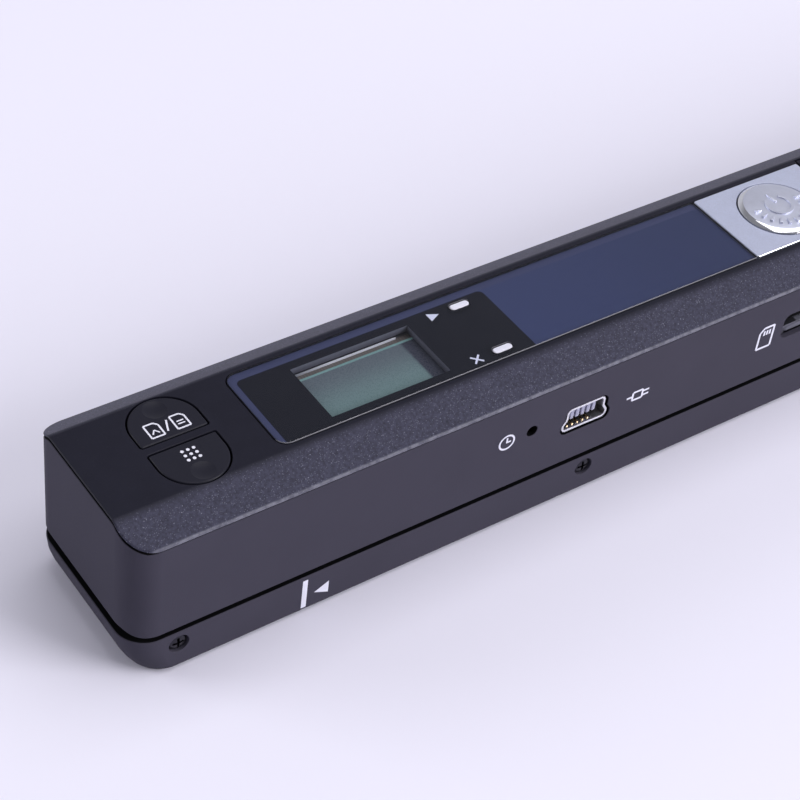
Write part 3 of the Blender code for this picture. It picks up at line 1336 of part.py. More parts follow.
def make_wheel(name, left, side, axis):
    """A rubber wheel with eased edges, pressed on its shaft."""
    start = along(wheel_start(left))
    stop = start + WHEEL_WIDTH
    bore = SHAFT_RADIUS + RUN_GAP
    profile = [(bore, start), (WHEEL_RADIUS - WHEEL_EDGE, start), (WHEEL_RADIUS, start + WHEEL_EDGE),
               (WHEEL_RADIUS, stop - WHEEL_EDGE), (WHEEL_RADIUS - WHEEL_EDGE, stop), (bore, stop)]
    wheel = turned(name, "x", (side * ROLLER_Y, ROLLER_Z), profile, WHEEL_SIDES, hollow=True)
    carry(axis, finish(wheel, "rubber"))


def make_roller(name, side, axis):
    """A shaft along the body with a wheel near each end."""
    first = end_seat(True) + FIT_GAP + SHAFT_END_PLAY
    shaft = rod(name + "_shaft", "x", (side * ROLLER_Y, ROLLER_Z), SHAFT_RADIUS,
                along(first), along(BODY_LENGTH - first))
    carry(axis, finish(shaft, "steel"))
    make_wheel(name + "_left_wheel", True, side, axis)
    make_wheel(name + "_right_wheel", False, side, axis)


def gear_outline(middle, teeth, phase):
    """Teeth round a pitch circle, with one tooth centred at the angle phase."""
    pitch = 2 * math.pi / teeth
    root = GEAR_MODULE * (teeth / 2 - DEDENDUM_SHARE)
    tip = gear_tip_radius(teeth)
    corners = ((root, -ROOT_SHARE), (tip, -TIP_SHARE), (tip, TIP_SHARE), (root, ROOT_SHARE))
    points = []
    for tooth in range(teeth):
        for radius, share in corners:
            angle = phase + (tooth + share) * pitch
            points.append((middle[0] + radius * math.cos(angle), middle[1] + radius * math.sin(angle)))
    return points


def make_drive_gear(axis):
    middle = (ROLLER_Y, ROLLER_Z)
    outline = gear_outline(middle, GEAR_TEETH, ENCODER_ANGLE)
    rings = [[(along(x), y, z) for y, z in outline] for x in (GEAR_START, GEAR_END)]
    gear = finish(loft("drive_gear", rings, (along(GEAR_START), *middle)), "acetal")
    cut(gear, rod("gear_bore", "x", middle, SHAFT_RADIUS + RUN_GAP,
                  along(GEAR_START - CUT_OVERRUN), along(GEAR_END + CUT_OVERRUN)))
    carry(axis, gear)


def make_encoder_wheel(axis):
    """Pinion, axle and slotted disc, moulded in one piece."""
    middle = encoder_axis()
    pitch = 2 * math.pi / PINION_TEETH
    outline = gear_outline(middle, PINION_TEETH, ENCODER_ANGLE + math.pi + pitch / 2)
    rings = [[(along(x), y, z) for y, z in outline] for x in (GEAR_START, GEAR_END)]
    wheel = finish(loft("encoder_wheel", rings, (along(GEAR_START), *middle)), "acetal")
    first = end_seat(True) + FIT_GAP
    last = POST_END + ENCODER_AXLE_TAIL / 2
    join(wheel, rod("encoder_axle", "x", middle, ENCODER_AXLE_RADIUS, along(first), along(last)))
    join(wheel, rod("encoder_disc", "x", middle, disc_radius(), along(DISC_START), along(DISC_END), 36))
    cut(wheel, disc_slots(middle))
    carry(axis, wheel)


def disc_slots(middle):
    """Radial slots round the disc, as one object to cut with."""
    outer = disc_radius() - DISC_RIM
    inner = outer - DISC_SLOT_LENGTH
    half = DISC_SLOT_WIDTH / 2
    bm = bmesh.new()
    for slot in range(DISC_SLOTS):
        made = bmesh.ops.create_cube(bm, size=1)["verts"]
        size = Matrix.Diagonal((DISC_THICKNESS + 2 * CUT_OVERRUN, outer - inner, 2 * half, 1))
        shift = Matrix.Translation((0, (outer + inner) / 2, 0))
        turn = Matrix.Rotation(2 * math.pi * slot / DISC_SLOTS, 4, "X")
        place = Matrix.Translation((along((DISC_START + DISC_END) / 2), *middle))
        bmesh.ops.transform(bm, matrix=place @ turn @ shift @ size, verts=made)
    return new_object("disc_slots", bm)


def make_encoder_sensor():
    """The light gate that the disc's edge turns in."""
    y, z = encoder_axis()
    gap_start = DISC_START - SIDE_GAP
    gap_stop = DISC_END + SIDE_GAP
    front = y - disc_radius() + GATE_REACH
    low = (along(gap_start - GATE_ARM), front - GATE_DEPTH, SENSOR_Z)
    high = (along(gap_stop + GATE_ARM), front, z + GATE_TOP_RISE)
    gate = finish(block("encoder_sensor", low, high), "black_plastic")
    low = (along(gap_start), front - GATE_DEPTH + GATE_BACK, SENSOR_Z + GATE_ARM)
    high = (along(gap_stop), front + CUT_OVERRUN, z + GATE_TOP_RISE + CUT_OVERRUN)
    cut(gate, block("gate_slot", low, high))


# Joint axes

def joint_axis(name, place):
    """An empty on a joint's axis, which carries the pieces that move on it."""
    axis = bpy.data.objects.new(name, None)
    axis.location = place
    axis.empty_display_size = WHEEL_RADIUS
    bpy.context.scene.collection.objects.link(axis)
    return axis


def carry(axis, piece):
    piece.location = piece.location - axis.location
    piece.parent = axis
    return piece


def make_keys():
    for name, side in (("format", 1), ("dpi", -1)):
        middle = (along(KEY_PLACE), side * KEY_MIDDLE)
        axis = joint_axis(name + "_button_slide", (*middle, TOP_Z))
        make_key(name + "_button", side, axis)
        make_plunger(name + "_plunger", middle, axis)
        make_switch(name + "_switch", middle)
    middle = (along(BUTTON_PLACE), 0)
    axis = joint_axis("scan_button_slide", (*middle, WINDOW_TOP))
    make_scan_button(axis)
    make_plunger("scan_plunger", middle, axis)
    make_switch("scan_switch", middle)
    make_time_switch(joint_axis("time_button_slide", (along(PINHOLE_PLACE), -BOARD_HALF, PINHOLE_Z)))


def make_rollers():
    for name, side in (("front", -1), ("rear", 1)):
        axis = joint_axis(name + "_roller_axis", (0, side * ROLLER_Y, ROLLER_Z))
        make_roller(name, side, axis)
        if side > 0:
            make_drive_gear(axis)
    for left in (True, False):
        for side in (-1, 1):
            make_bush(left, side)
    y, z = encoder_axis()
    make_encoder_wheel(joint_axis("encoder_axis", (along(GEAR_START), y, z)))
    make_encoder_sensor()


def main():
    clear_scene()
    make_top_cover()
    make_mid_housing()
    make_lower_housing()
    for name, place, side in side_screws():
        make_screw(name, place, side)
    make_window()
    make_display()
    make_plate()
    make_keys()
    make_boards()
    make_usb()
    make_card_socket(joint_axis("card_slide", (along(SLOT_PLACE + SLOT_WIDTH / 2), -HALF_DEPTH, PARTS_Z)))
    make_sensor()
    make_flat_cable()
    make_rollers()
    make_cell("left_cell", CELL_START)
    make_cell("right_cell", SECOND_CELL_START)
    make_battery_contacts()
    carry(joint_axis("battery_door_slide", (along(DOOR_START), 0, DOOR_Z)), make_battery_door())


main()
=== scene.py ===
"""Handheld page scanner: the looks of its pieces, built round the packed model.

Every outline and table below is in millimetres, in the model's own frame. piece() turns
a finished mesh into metres. X runs along the wand, and the sockets look along -Y.
"""

import math

import bmesh
import bpy
from bpy.props import FloatProperty, FloatVectorProperty, IntProperty, PointerProperty
from bpy.types import Operator, Panel, PropertyGroup
from mathutils import Matrix, Vector


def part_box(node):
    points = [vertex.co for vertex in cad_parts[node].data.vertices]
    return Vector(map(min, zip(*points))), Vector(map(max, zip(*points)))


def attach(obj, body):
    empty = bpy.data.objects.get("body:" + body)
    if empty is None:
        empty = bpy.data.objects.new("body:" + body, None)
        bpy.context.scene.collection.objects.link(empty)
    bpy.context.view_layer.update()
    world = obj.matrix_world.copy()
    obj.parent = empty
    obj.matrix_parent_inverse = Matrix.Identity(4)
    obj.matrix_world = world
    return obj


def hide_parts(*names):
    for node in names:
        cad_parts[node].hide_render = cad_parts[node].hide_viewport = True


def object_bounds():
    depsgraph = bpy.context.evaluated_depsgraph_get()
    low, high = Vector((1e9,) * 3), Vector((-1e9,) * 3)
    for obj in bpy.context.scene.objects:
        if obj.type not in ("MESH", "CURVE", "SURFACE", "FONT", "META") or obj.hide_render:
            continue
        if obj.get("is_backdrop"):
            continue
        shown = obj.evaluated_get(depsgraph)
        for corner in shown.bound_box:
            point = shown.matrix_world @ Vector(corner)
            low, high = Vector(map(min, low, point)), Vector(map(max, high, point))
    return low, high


bl_info = {
    "name": "Handheld scanner",
    "version": (1, 0, 0),
    "blender": (4, 5, 0),
    "location": "View3D > Sidebar > Scanner",
    "description": "Detailed pieces, finishes and studio for a handheld page scanner",
    "category": "Object",
}

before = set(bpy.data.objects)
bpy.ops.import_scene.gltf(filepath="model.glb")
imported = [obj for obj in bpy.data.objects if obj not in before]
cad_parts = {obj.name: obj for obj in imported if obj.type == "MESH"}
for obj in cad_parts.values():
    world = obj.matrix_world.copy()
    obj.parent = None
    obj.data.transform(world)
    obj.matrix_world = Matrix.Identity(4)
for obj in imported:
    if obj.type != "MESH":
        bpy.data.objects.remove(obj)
CAD_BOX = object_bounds()

MM = 0.001


def box(node):
    """Lowest and highest corner of a CAD node, in millimetres."""
    return tuple(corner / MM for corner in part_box(node))


def middle_of(node, axes):
    """Middle of a CAD node's box on the axes named, such as "xy"."""
    low, high = box(node)
    return tuple((getattr(low, axis) + getattr(high, axis)) / 2 for axis in axes)


# Places that come from the model
HALF_LENGTH = box("mid_housing")[1].x
HALF_DEPTH = box("mid_housing")[1].y
TOP = box("top_cover")[1].z
UNDERSIDE = box("lower_housing")[0].z
TRAY_FLOOR = box("scan_glass")[1].z
WINDOW = box("display_window")
FILM = box("window_mask")
PLATE = box("button_plate")
DOOR = box("battery_door")
USB = box("usb_shell")
CELL = box("left_cell")
CELL_STEP = box("right_cell")[0].x - CELL[0].x


def along(distance):
    """X of a place this far from the body's left end."""
    return distance - HALF_LENGTH


# Like pieces of the model
LIGHTS = ("scan_light", "error_light")
BUSHES = ("front_left_bush", "front_right_bush", "rear_left_bush", "rear_right_bush")
WHEELS = ("front_left_wheel", "front_right_wheel", "rear_left_wheel", "rear_right_wheel")
SCREWS = (*(f"front_screw_{number}" for number in (1, 2, 3, 4)), "back_screw_1", "back_screw_2")

# The shells' section
WALL = 1.8
CHAMFER = 0.08                  # along the edges of the seam under the cover
CORNER = 4.4
SLOPE_RUN = 4.66
SLOPE_DROP = 3.1
FLAT_HALF = HALF_DEPTH - SLOPE_RUN
ROOF = 2.2                      # from the top surface to the cover's underside
RIM = 0.34                      # height of the cover's outer edge
PLUG_INSET = WALL + 0.3         # of the part of the cover inside the middle housing
TRAY_TOP = UNDERSIDE + 6.9
PARTING = 0.8                   # gap between the housings on the long sides
PARTING_MORE = 0.9              # how much wider it is at the ends
PARTING_FADE = (0.4, 3.0)       # where it starts to widen, in from the long sides, and over how much
SEAM_FADE = (0.0, 0.5)          # the same for the seam under the cover
MID_BOTTOM = TRAY_TOP + PARTING
LIP_INSET = 1.1
LIP_TOP = MID_BOTTOM + 1.5
LIP_GAP = 0.3
BLOCK_START = 2.3               # from the body's end to the blocks inside the tray
BLOCK_STOP = WALL + 2.8
BUSH_BORE = (1.95, 2.4, 5.6)    # radius, and its two ends as distances from the body's end
ENCODER_BORE = 0.95
COLUMN_HALF = 1.7               # of the columns that hold the encoder wheel
BEARING_HALF = 2.75             # of the blocks that hold the bushes
WHEEL_OPENING = (0.4, 4.1)      # beyond the wheel's faces, and from its axis to either edge
OVER = 1.0                      # how far cutters reach past what they cut

# The battery door and the bay under it
DOOR_HALF = 8.0
DOOR_GAP = 0.25
TONGUE_HALF = DOOR[1].y
TONGUE_GAP = 0.3
CELL_BAY = (along(130.4), along(242.5))

# The window, its print and the display
WINDOW_LEFT = WINDOW[0].x - 0.5
RECESS_FLOOR = FILM[0].z - 0.1
PRINT_TOP = WINDOW[1].z - 0.33
DISPLAY_TOP = FILM[0].z - 0.15
VIEW = ((-93.62, -5.72), (-74.52, 4.68))    # the opening over the display
PRINT = (-101.4, -60.9, 6.1)                # left, right and back of the dark field
GLASS_FRONT = -6.0
EDGE_LINE = 3.2                             # back edge of the display's upper glass
WHITE_LINE = (4.42, 4.59)                   # front and back of the sealing strip
LIGHT_SIZE = (3.2, 1.15)
HOLE_GAP = 0.10                             # round the lights, in the window and the film

# Keys and button
KEYS = ((1, "format_button", "format_key"), (-1, "dpi_button", "dpi_key"))     # side, node and body
KEY_RADIUS = 4.9
KEY_NEAR = 0.85
KEY_TIP = FLAT_HALF - 0.27
KEY_GAP = 0.25
BUTTON_RADIUS = 6.15
BUTTON = (*middle_of("button_plate", "x"), 0.0)

# Holes in the walls
USB_MIDDLE = (middle_of("usb_shell", "x")[0] + 0.3, *middle_of("usb_shell", "z"))
SLOT = ((along(110.5), 14.5), (along(125.2), 19.1))
PINHOLE = (along(63.0), 17.4)
SCREW_RADIUS = 1.3
SCREW_DEPTH = 1.3
LENS_Y = 1.7                    # middle line of the sensor's lenses


# Sizes and colours that can be changed

def length(label, text, size):
    """A length in metres from a default in millimetres."""
    return FloatProperty(name=label, description=text, default=size * MM, min=0, precision=5, unit="LENGTH")


def colour(label, text, red, green, blue):
    """A colour whose default is given in plain sRGB numbers from 0 to 255."""
    default = tuple(linear(part / 255) for part in (red, green, blue))
    return FloatVectorProperty(name=label, description=text, default=default, min=0, max=1, subtype="COLOR")


def power(label, size):
    """The power of a lamp, in watts."""
    return FloatProperty(name=label, description="Power in watts", default=size, min=0)


def linear(part):
    return part / 12.92 if part <= 0.04045 else ((part + 0.055) / 1.055) ** 2.4


class ScannerShape(PropertyGroup):
    """Sizes of the small shapes that catch the light."""

    edge_round: length("Edge rounding", "Radius of the shells' outer edges", 0.35)
    base_round: length("Base rounding", "Radius of the lower housing's bottom edge", 0.7)
    tray_lean: length("Tray lean", "How far the lower tray's ends lean in at its base", 2.6)
    crease_blend: length("Crease blend", "Half width of the soft turn from the top to its slopes", 0.45)
    seam_end: length("End seam", "Seam under the cover at the ends", 0.50)
    seam_side: length("Side seam", "Seam under the cover on the long sides", 0.06)
    mouth_round: length("Opening rounding", "Radius of the edges of openings", 0.10)
    key_round: length("Key rounding", "Radius of the keys' top edges", 0.22)
    dimple_radius: length("Dimple radius", "Radius of the finger dimples in the keys", 1.65)
    dimple_depth: length("Dimple depth", "Depth of the finger dimples in the keys", 0.22)
    window_round: length("Window rounding", "Radius of the window's top edge", 0.15)
    plate_round: length("Plate rounding", "Radius of the silver plate's top edge", 0.20)
    mark_height: length("Print height", "How far printed marks stand on the surface", 0.02)
    corner_steps: IntProperty(name="Corner steps", description="Faces round each corner of the body",
                              default=14, min=3)
    wheel_ribs: IntProperty(name="Wheel ribs", description="Ribs round each rubber wheel", default=36, min=8)


class ScannerColours(PropertyGroup):
    """Colours of the finishes, as they look in plain light."""

    paint: colour("Top paint", "Satin paint on the flat top", 31, 31, 42)
    # The slope colour is the top's paint drawn lighter, as painted reflection of the light that the slopes
    # face.
    slope: colour("Slope paint", "Flecked paint on the sloped edges", 58, 58, 74)
    fleck: colour("Flecks", "Flecks in the slopes' paint", 158, 158, 178)
    housing: colour("Housing", "Matte plastic of the two housings", 64, 62, 74)
    key: colour("Keys", "Plastic of the two keys", 33, 33, 43)
    print_black: colour("Dark print", "Print round the display", 24, 25, 33)
    print_navy: colour("Navy print", "Print on the rest of the window", 58, 65, 96)
    print_rim: colour("Rim print", "Band along the window's left and back edges", 67, 71, 99)
    display: colour("Display", "Face of the display, switched off", 113, 136, 132)
    light: colour("Lights", "Indicator light pipes", 218, 218, 233)
    silver: colour("Silver plate", "Paint of the plate round the button", 186, 191, 214)
    button: colour("Button", "Satin metal of the round button", 212, 215, 232)
    mark: colour("Marks", "Printed marks", 226, 226, 240)
    floor: colour("Floor", "Studio floor", 234, 232, 247)


class ScannerStudio(PropertyGroup):
    """Lamps and camera."""

    lens: FloatProperty(name="Lens", description="Focal length in millimetres", default=92.745, min=10)
    world: FloatProperty(name="Room light", description="Strength of the light all round", default=0.48,
                         min=0)
    front: power("Front lamp", 19.0)
    left: power("Left lamp", 7.0)
    above: power("Top lamp", 11.5)


def shape(name):
    """One of the small sizes, in millimetres."""
    return getattr(bpy.context.scene.scanner_shape, name) / MM


def hue(name):
    """One of the colours, for a shader socket."""
    return (*getattr(bpy.context.scene.scanner_colours, name), 1.0)


# Shader maths

def term(operation, swapped=False):
    """A method that puts a maths node between a wire and another term."""
    def method(self, other):
        return self.paint.maths(operation, *((other, self) if swapped else (self, other)))
    return method


class Wire:
    """A shader socket that takes part in Python's own sums."""

    def __init__(self, paint, socket):
        self.paint = paint
        self.socket = socket

    def out(self, name):
        """Another output of the same node."""
        return Wire(self.paint, self.socket.node.outputs[name])

    __add__, __radd__ = term("ADD"), term("ADD", True)
    __sub__, __rsub__ = term("SUBTRACT"), term("SUBTRACT", True)
    __mul__, __rmul__ = term("MULTIPLY"), term("MULTIPLY", True)
    __truediv__ = term("DIVIDE")
    __pow__ = term("POWER")
    __mod__ = term("FLOORED_MODULO")
    __gt__ = term("GREATER_THAN")
    least, most = term("MINIMUM"), term("MAXIMUM")

    def __abs__(self):
        return self.paint.maths("ABSOLUTE", self)

    def ramp(self, start, stop):
        """0 before start, 1 after stop and smooth between them."""
        values = {"Value": self, "From Min": start, "From Max": stop}
        return self.paint.node("ShaderNodeMapRange", {"interpolation_type": "SMOOTHSTEP"}, values)


class Paint:
    """A material whose nodes come from plain calls."""

    def __init__(self, name, tree=None):
        if tree is None:
            self.material = bpy.data.materials.get(name) or bpy.data.materials.new(name)
            self.material.use_nodes = True
            tree = self.material.node_tree
        self.tree = tree
        self.tree.nodes.clear()
        self.mm = None

    def node(self, kind, settings=None, values=None, output=0):
        """A node of any type: its settings first, then the values or links of its sockets."""
        made = self.tree.nodes.new(kind)
        for name, value in (settings or {}).items():
            setattr(made, name, value)
        for name, value in (values or {}).items():
            if isinstance(value, Wire):
                self.tree.links.new(value.socket, made.inputs[name])
            else:
                made.inputs[name].default_value = value
        return Wire(self, made.outputs[output]) if made.outputs else made

    def maths(self, operation, *terms):
        return self.node("ShaderNodeMath", {"operation": operation}, dict(enumerate(terms)))

    def place(self, kind="Object", scale=1 / MM):
        """The place on the piece, in millimetres."""
        if self.mm is None:
            spot = self.node("ShaderNodeTexCoord").out(kind)
            self.mm = self.node("ShaderNodeVectorMath", {"operation": "SCALE"}, {0: spot, "Scale": scale})
        return self.mm

    def axes(self, kind="Object", scale=1 / MM):
        """X, Y and Z of the place, in millimetres."""
        parts = self.node("ShaderNodeSeparateXYZ", None, {0: self.place(kind, scale)})
        return parts, parts.out("Y"), parts.out("Z")

    def stretched(self, x, y, z):
        """The place with its axes scaled."""
        return self.node("ShaderNodeVectorMath", {"operation": "MULTIPLY"}, {0: self.place(), 1: (x, y, z)})

    def noise(self, scale, detail=2.0, spread=0.5, place=None):
        """Cloudy noise from 0 to 1, with scale in features a millimetre."""
        values = {"Vector": place or self.place(), "Scale": scale, "Detail": detail, "Roughness": spread}
        return self.node("ShaderNodeTexNoise", None, values)

    def cells(self, scale):
        """Distance to the nearest of scattered points, and a random number for each point."""
        dots = self.node("ShaderNodeTexVoronoi", None, {"Vector": self.place(), "Scale": scale})
        return dots, self.node("ShaderNodeSeparateColor", None, {0: dots.out("Color")})

    def specks(self, scale, share, size):
        """Small round specks: share of the cells that have one, and its size in a cell."""
        dots, chance = self.cells(scale)
        return (1 - dots.ramp(size * 0.5, size)) * (chance > 1 - share)

    def mix(self, first, second, factor):
        """Two colours mixed, from first at 0 to second at 1."""
        return self.node("ShaderNodeMix", {"data_type": "RGBA"}, {0: factor, 6: first, 7: second}, 2)

    def shade(self, tint, factor):
        """A colour made lighter or darker by a factor."""
        if not isinstance(tint, Wire):
            tint = tint[:3]
        return self.node("ShaderNodeVectorMath", {"operation": "SCALE"}, {0: tint, "Scale": factor})

    def bump(self, height, depth):
        """A surface normal from a height, with the depth of a height of 1 in millimetres."""
        return self.node("ShaderNodeBump", None, {"Strength": 1.0, "Distance": depth * MM, "Height": height})

    def coat(self, tint, rough, **more):
        """The main shader on the surface, with underscores for the spaces in its sockets' names."""
        values = {"Base Color": tint, "Roughness": rough}
        values.update((name.replace("_", " "), value) for name, value in more.items())
        return self.show(self.node("ShaderNodeBsdfPrincipled", None, values))

    def show(self, shader):
        """Put a shader on the surface and give back the material."""
        self.node("ShaderNodeOutputMaterial", None, {"Surface": shader})
        return self.material


# Finishes

def rounded_mask(paint, right):
    """1 on the print's field up to this X, with round corners, and 0 round it."""
    x, y, _ = paint.axes()
    low, high = (PRINT[0], -HALF_DEPTH), (right, PRINT[2])
    radius, soft = 0.9, 0.05
    middle = [(a + b) / 2 for a, b in zip(low, high)]
    half = [(b - a) / 2 - radius for a, b in zip(low, high)]
    across = (abs(x - middle[0]) - half[0]).most(0)
    up = (abs(y - middle[1]) - half[1]).most(0)
    distance = (across * across + up * up) ** 0.5 - radius
    return 1 - distance.ramp(-soft, soft)


def flecked_paint(paint):
    """Dark satin paint on the top, with bluish flecks; the sloped edges are drawn lighter and more flecked
    as painted reflection, with a patchy painted highlight along their lower edges.
    """
    side = abs(paint.axes()[1])
    slope = side.ramp(FLAT_HALF - 0.5, FLAT_HALF + 0.9)
    cloud = paint.noise(0.35, 3.0)
    grain = paint.noise(2.2, 3.0, 0.75)
    # Painted reflection: the sloped edges get a lighter colour, stronger grain and more of the flecks than
    # the flat top, though both carry the same paint.
    base = paint.mix(hue("paint"), hue("slope"), slope)
    base = paint.shade(base, 0.86 + cloud * 0.28 + (grain - 0.5) * (slope * 1.7 + 0.10))
    flecks = paint.specks(2.6, 0.16, 0.24) * 0.52 + paint.specks(4.4, 0.42, 0.34) * 0.34
    base = paint.mix(base, hue("fleck"), (flecks * (slope * 0.75 + 0.03)).least(1))
    # Painted highlight in uneven patches along the lower edges of the slopes, where the rounded edge catches
    # the light.
    patches = paint.noise(0.9, 3.0).ramp(0.30, 0.62) * 0.45 + 0.30
    painted_edge_highlight = side.ramp(HALF_DEPTH - 0.36, HALF_DEPTH - 0.10) * patches
    base = paint.mix(base, (0.38, 0.38, 0.45, 1), painted_edge_highlight * 0.5)
    rough = 0.40 + (paint.noise(4.0) - 0.5) * 0.12 + slope * 0.06
    peel = paint.noise(2.2, 3.0, 0.6)
    return paint.coat(base, rough, Specular_IOR_Level=0.10, Normal=paint.bump(peel, 0.006))


def clouded(paint, tint, noise, lighter, rougher, **more):
    """A tint under one noise, with the start and the range of its brightness and its roughness."""
    cloud = paint.noise(*noise)
    base = paint.shade(tint, lighter[0] + cloud * lighter[1])
    return paint.coat(base, rougher[0] + cloud * rougher[1], **more)


def moulded(paint, tint, rough, gloss, depth):
    """Moulded plastic with a fine eroded grain and faint clouding."""
    cloud = paint.noise(0.12, 3.0)
    grain = paint.noise(5.5, 2.0, 0.65)
    base = paint.shade(tint, 0.90 + cloud * 0.14 + grain * 0.10)
    scuff = paint.noise(1.6, 4.0, 0.7, paint.stretched(0.25, 1, 1)).ramp(0.66, 0.80)
    base = paint.mix(base, paint.shade(tint, 1.55), scuff * 0.16)
    return paint.coat(base, rough + (grain - 0.5) * 0.16, Specular_IOR_Level=gloss,
                      Normal=paint.bump(grain, depth))


def housing_plastic(paint):
    return moulded(paint, hue("housing"), 0.60, 0.07, 0.012)


def painted_shade_plastic(paint):
    """The housings' plastic drawn near black, as painted shade, on faces that only show through gaps and
    holes.
    """
    return moulded(paint, (0.004, 0.004, 0.005, 1), 0.75, 0.05, 0.010)


def key_plastic(paint):
    return moulded(paint, hue("key"), 0.36, 0.14, 0.005)


def black_plastic(paint):
    return moulded(paint, (0.012, 0.012, 0.014, 1), 0.45, 0.5, 0.004)


def card_plastic(paint):
    return moulded(paint, (0.15, 0.15, 0.19, 1), 0.50, 0.25, 0.003)


def pale_plastic(paint):
    return moulded(paint, (0.34, 0.34, 0.46, 1), 0.35, 0.4, 0.003)


def acetal(paint):
    return moulded(paint, (0.78, 0.78, 0.74, 1), 0.42, 0.5, 0.003)


def chip_black(paint):
    return moulded(paint, (0.016, 0.016, 0.018, 1), 0.52, 0.45, 0.010)


def window_acrylic(paint):
    """Clear acrylic: what lies under it shows, with a thin reflection on top."""
    gloss = paint.node("ShaderNodeFresnel", None, {"IOR": 1.42})
    smear = paint.noise(0.25, 3.0).ramp(0.35, 0.85)
    mirror = paint.node("ShaderNodeBsdfGlossy", None, {"Roughness": 0.06, "Color": (0.94, 0.95, 1.0, 1)})
    clear = paint.node("ShaderNodeBsdfTransparent", None, {"Color": (0.93, 0.94, 0.97, 1)})
    outer = 1 - paint.node("ShaderNodeNewGeometry").out("Backfacing")
    factor = gloss * (0.88 + smear * 0.12) * outer
    return paint.show(paint.node("ShaderNodeMixShader", None, {0: factor, 1: clear, 2: mirror}))


def acrylic_edge_painted_shade(paint):
    """The window's cut edge, drawn dark as painted shade, like the dark gap beside it."""
    tint = (0.010, 0.010, 0.017, 1)
    return clouded(paint, tint, (3.0, 3.0), (0.7, 0.6), (0.40, 0.08), Specular_IOR_Level=0.1)


def acrylic_glint(paint):
    """The window's rounded front edge, drawn pale as a painted highlight of the light that it gathers."""
    tint = (0.15, 0.15, 0.18, 1)
    return clouded(paint, tint, (1.2, 3.0), (0.7, 0.5), (0.34, 0.1), Specular_IOR_Level=0.4)


def sheet_edge(paint):
    """Cut edges of the printed sheet, grey and paler towards the top."""
    rise = paint.axes()[2].ramp(FILM[0].z, PRINT_TOP)
    base = paint.mix((0.070, 0.070, 0.090, 1), (0.165, 0.165, 0.200, 1), rise)
    return clouded(paint, base, (2.0, 2.0), (0.8, 0.4), (0.3, 0.1))


def printed_film(paint):
    """Film behind the window: a dark field round the display, navy beyond, and a blue rim."""
    x = paint.axes()[0]
    navy = paint.shade(hue("print_navy"), 1.10 - (x + HALF_LENGTH).ramp(66, 108) * 0.22)
    base = paint.mix(navy, hue("print_rim"), 1 - rounded_mask(paint, HALF_LENGTH))
    base = paint.mix(base, hue("print_black"), rounded_mask(paint, PRINT[1]))
    return clouded(paint, base, (1.1, 2.0), (0.95, 0.10), (0.42, 0.1), Specular_IOR_Level=0.1)


def display_glass(paint):
    """The display switched off: grey-green glass, greyer towards the back and the right, with a painted
    reflection in aqua along its back edge.
    """
    x, y, _ = paint.axes()
    across = x + HALF_LENGTH
    base = paint.mix(hue("display"), (0.100, 0.105, 0.125, 1), (y - GLASS_FRONT).ramp(1.5, 8.5) * 0.75)
    base = paint.mix(base, (0.045, 0.048, 0.066, 1), across.ramp(50.6, 51.2))
    base = paint.mix(base, (0.30, 0.32, 0.33, 1), (1 - across.ramp(33.9, 34.3)) * 0.6)
    # Painted reflection: an aqua line along the back edge of the upper glass, where light turns inside it.
    base = paint.mix(base, (0.205, 0.345, 0.318, 1), (y - EDGE_LINE).ramp(-0.22, -0.02))
    return clouded(paint, base, (7.0, 1.0), (0.95, 0.1), (0.22, 0.12), Specular_IOR_Level=0.3)


def display_ledge(paint):
    """The bare back edge of the display's lower glass, tan where its leads run."""
    x, y, _ = paint.axes()
    leads = ((x / 0.45) % 1).ramp(0.35, 0.65)
    base = paint.mix((0.105, 0.090, 0.082, 1), (0.150, 0.122, 0.100, 1), leads)
    base = paint.mix(base, (0.075, 0.075, 0.092, 1), y.ramp(WHITE_LINE[1], WHITE_LINE[1] + 0.15))
    return clouded(paint, base, (5.0,), (0.85, 0.3), (0.4, 0.2))


def pale_seal(paint):
    """The pale sealing strip along the display's back."""
    fade = (paint.axes()[0] + HALF_LENGTH).ramp(33.0, 41.0)
    base = paint.mix((0.22, 0.23, 0.25, 1), (0.80, 0.79, 0.82, 1), fade)
    return clouded(paint, base, (3.0,), (0.9, 0.2), (0.35, 0.1))


def white_plastic(paint):
    """Milky plastic of the two lights."""
    return clouded(paint, hue("light"), (1.2, 2.0), (0.92, 0.14), (0.26, 0.1), Specular_IOR_Level=0.5)


def silver_paint(paint):
    """Fine silver paint with small flakes."""
    chance = paint.cells(6.5)[1]
    cloud = paint.noise(0.5, 2.0)
    base = paint.shade(hue("silver"), 0.92 + cloud * 0.10 + (chance - 0.5) * 0.12)
    return paint.coat(base, 0.44 + chance * 0.12, Metallic=0.35 + chance * 0.15,
                      Normal=paint.bump(paint.noise(5.0, 2.0), 0.004))


def satin_metal(paint):
    """The button's blasted top."""
    grain = paint.noise(6.0, 2.0, 0.6)
    cloud = paint.noise(0.6, 2.0)
    base = paint.shade(hue("button"), 0.84 + cloud * 0.16 + grain * 0.08)
    return paint.coat(base, 0.36 + grain * 0.14, Metallic=0.82, Normal=paint.bump(grain, 0.004))


def chrome(paint):
    """Polished metal of the button's bevel, and of the plate's front edge as a painted highlight."""
    return clouded(paint, (0.86, 0.87, 0.92, 1), (1.5, 3.0), (0.94, 0.10), (0.06, 0.08), Metallic=1.0)


def metal(paint, tint, rough, lines, depth):
    """Bare metal with fine marks from its making, drawn out along an axis whose number is below 1."""
    marks = paint.noise(5.0, 3.0, 0.6, paint.stretched(*lines))
    stain = paint.noise(0.7, 3.0)
    base = paint.shade(tint, 0.78 + marks * 0.22 + stain * 0.18)
    return paint.coat(base, rough + (marks - 0.5) * 0.2, Metallic=1.0, Normal=paint.bump(marks, depth))


def steel(paint):
    return metal(paint, (0.56, 0.56, 0.60, 1), 0.26, (0.08, 1, 1), 0.002)


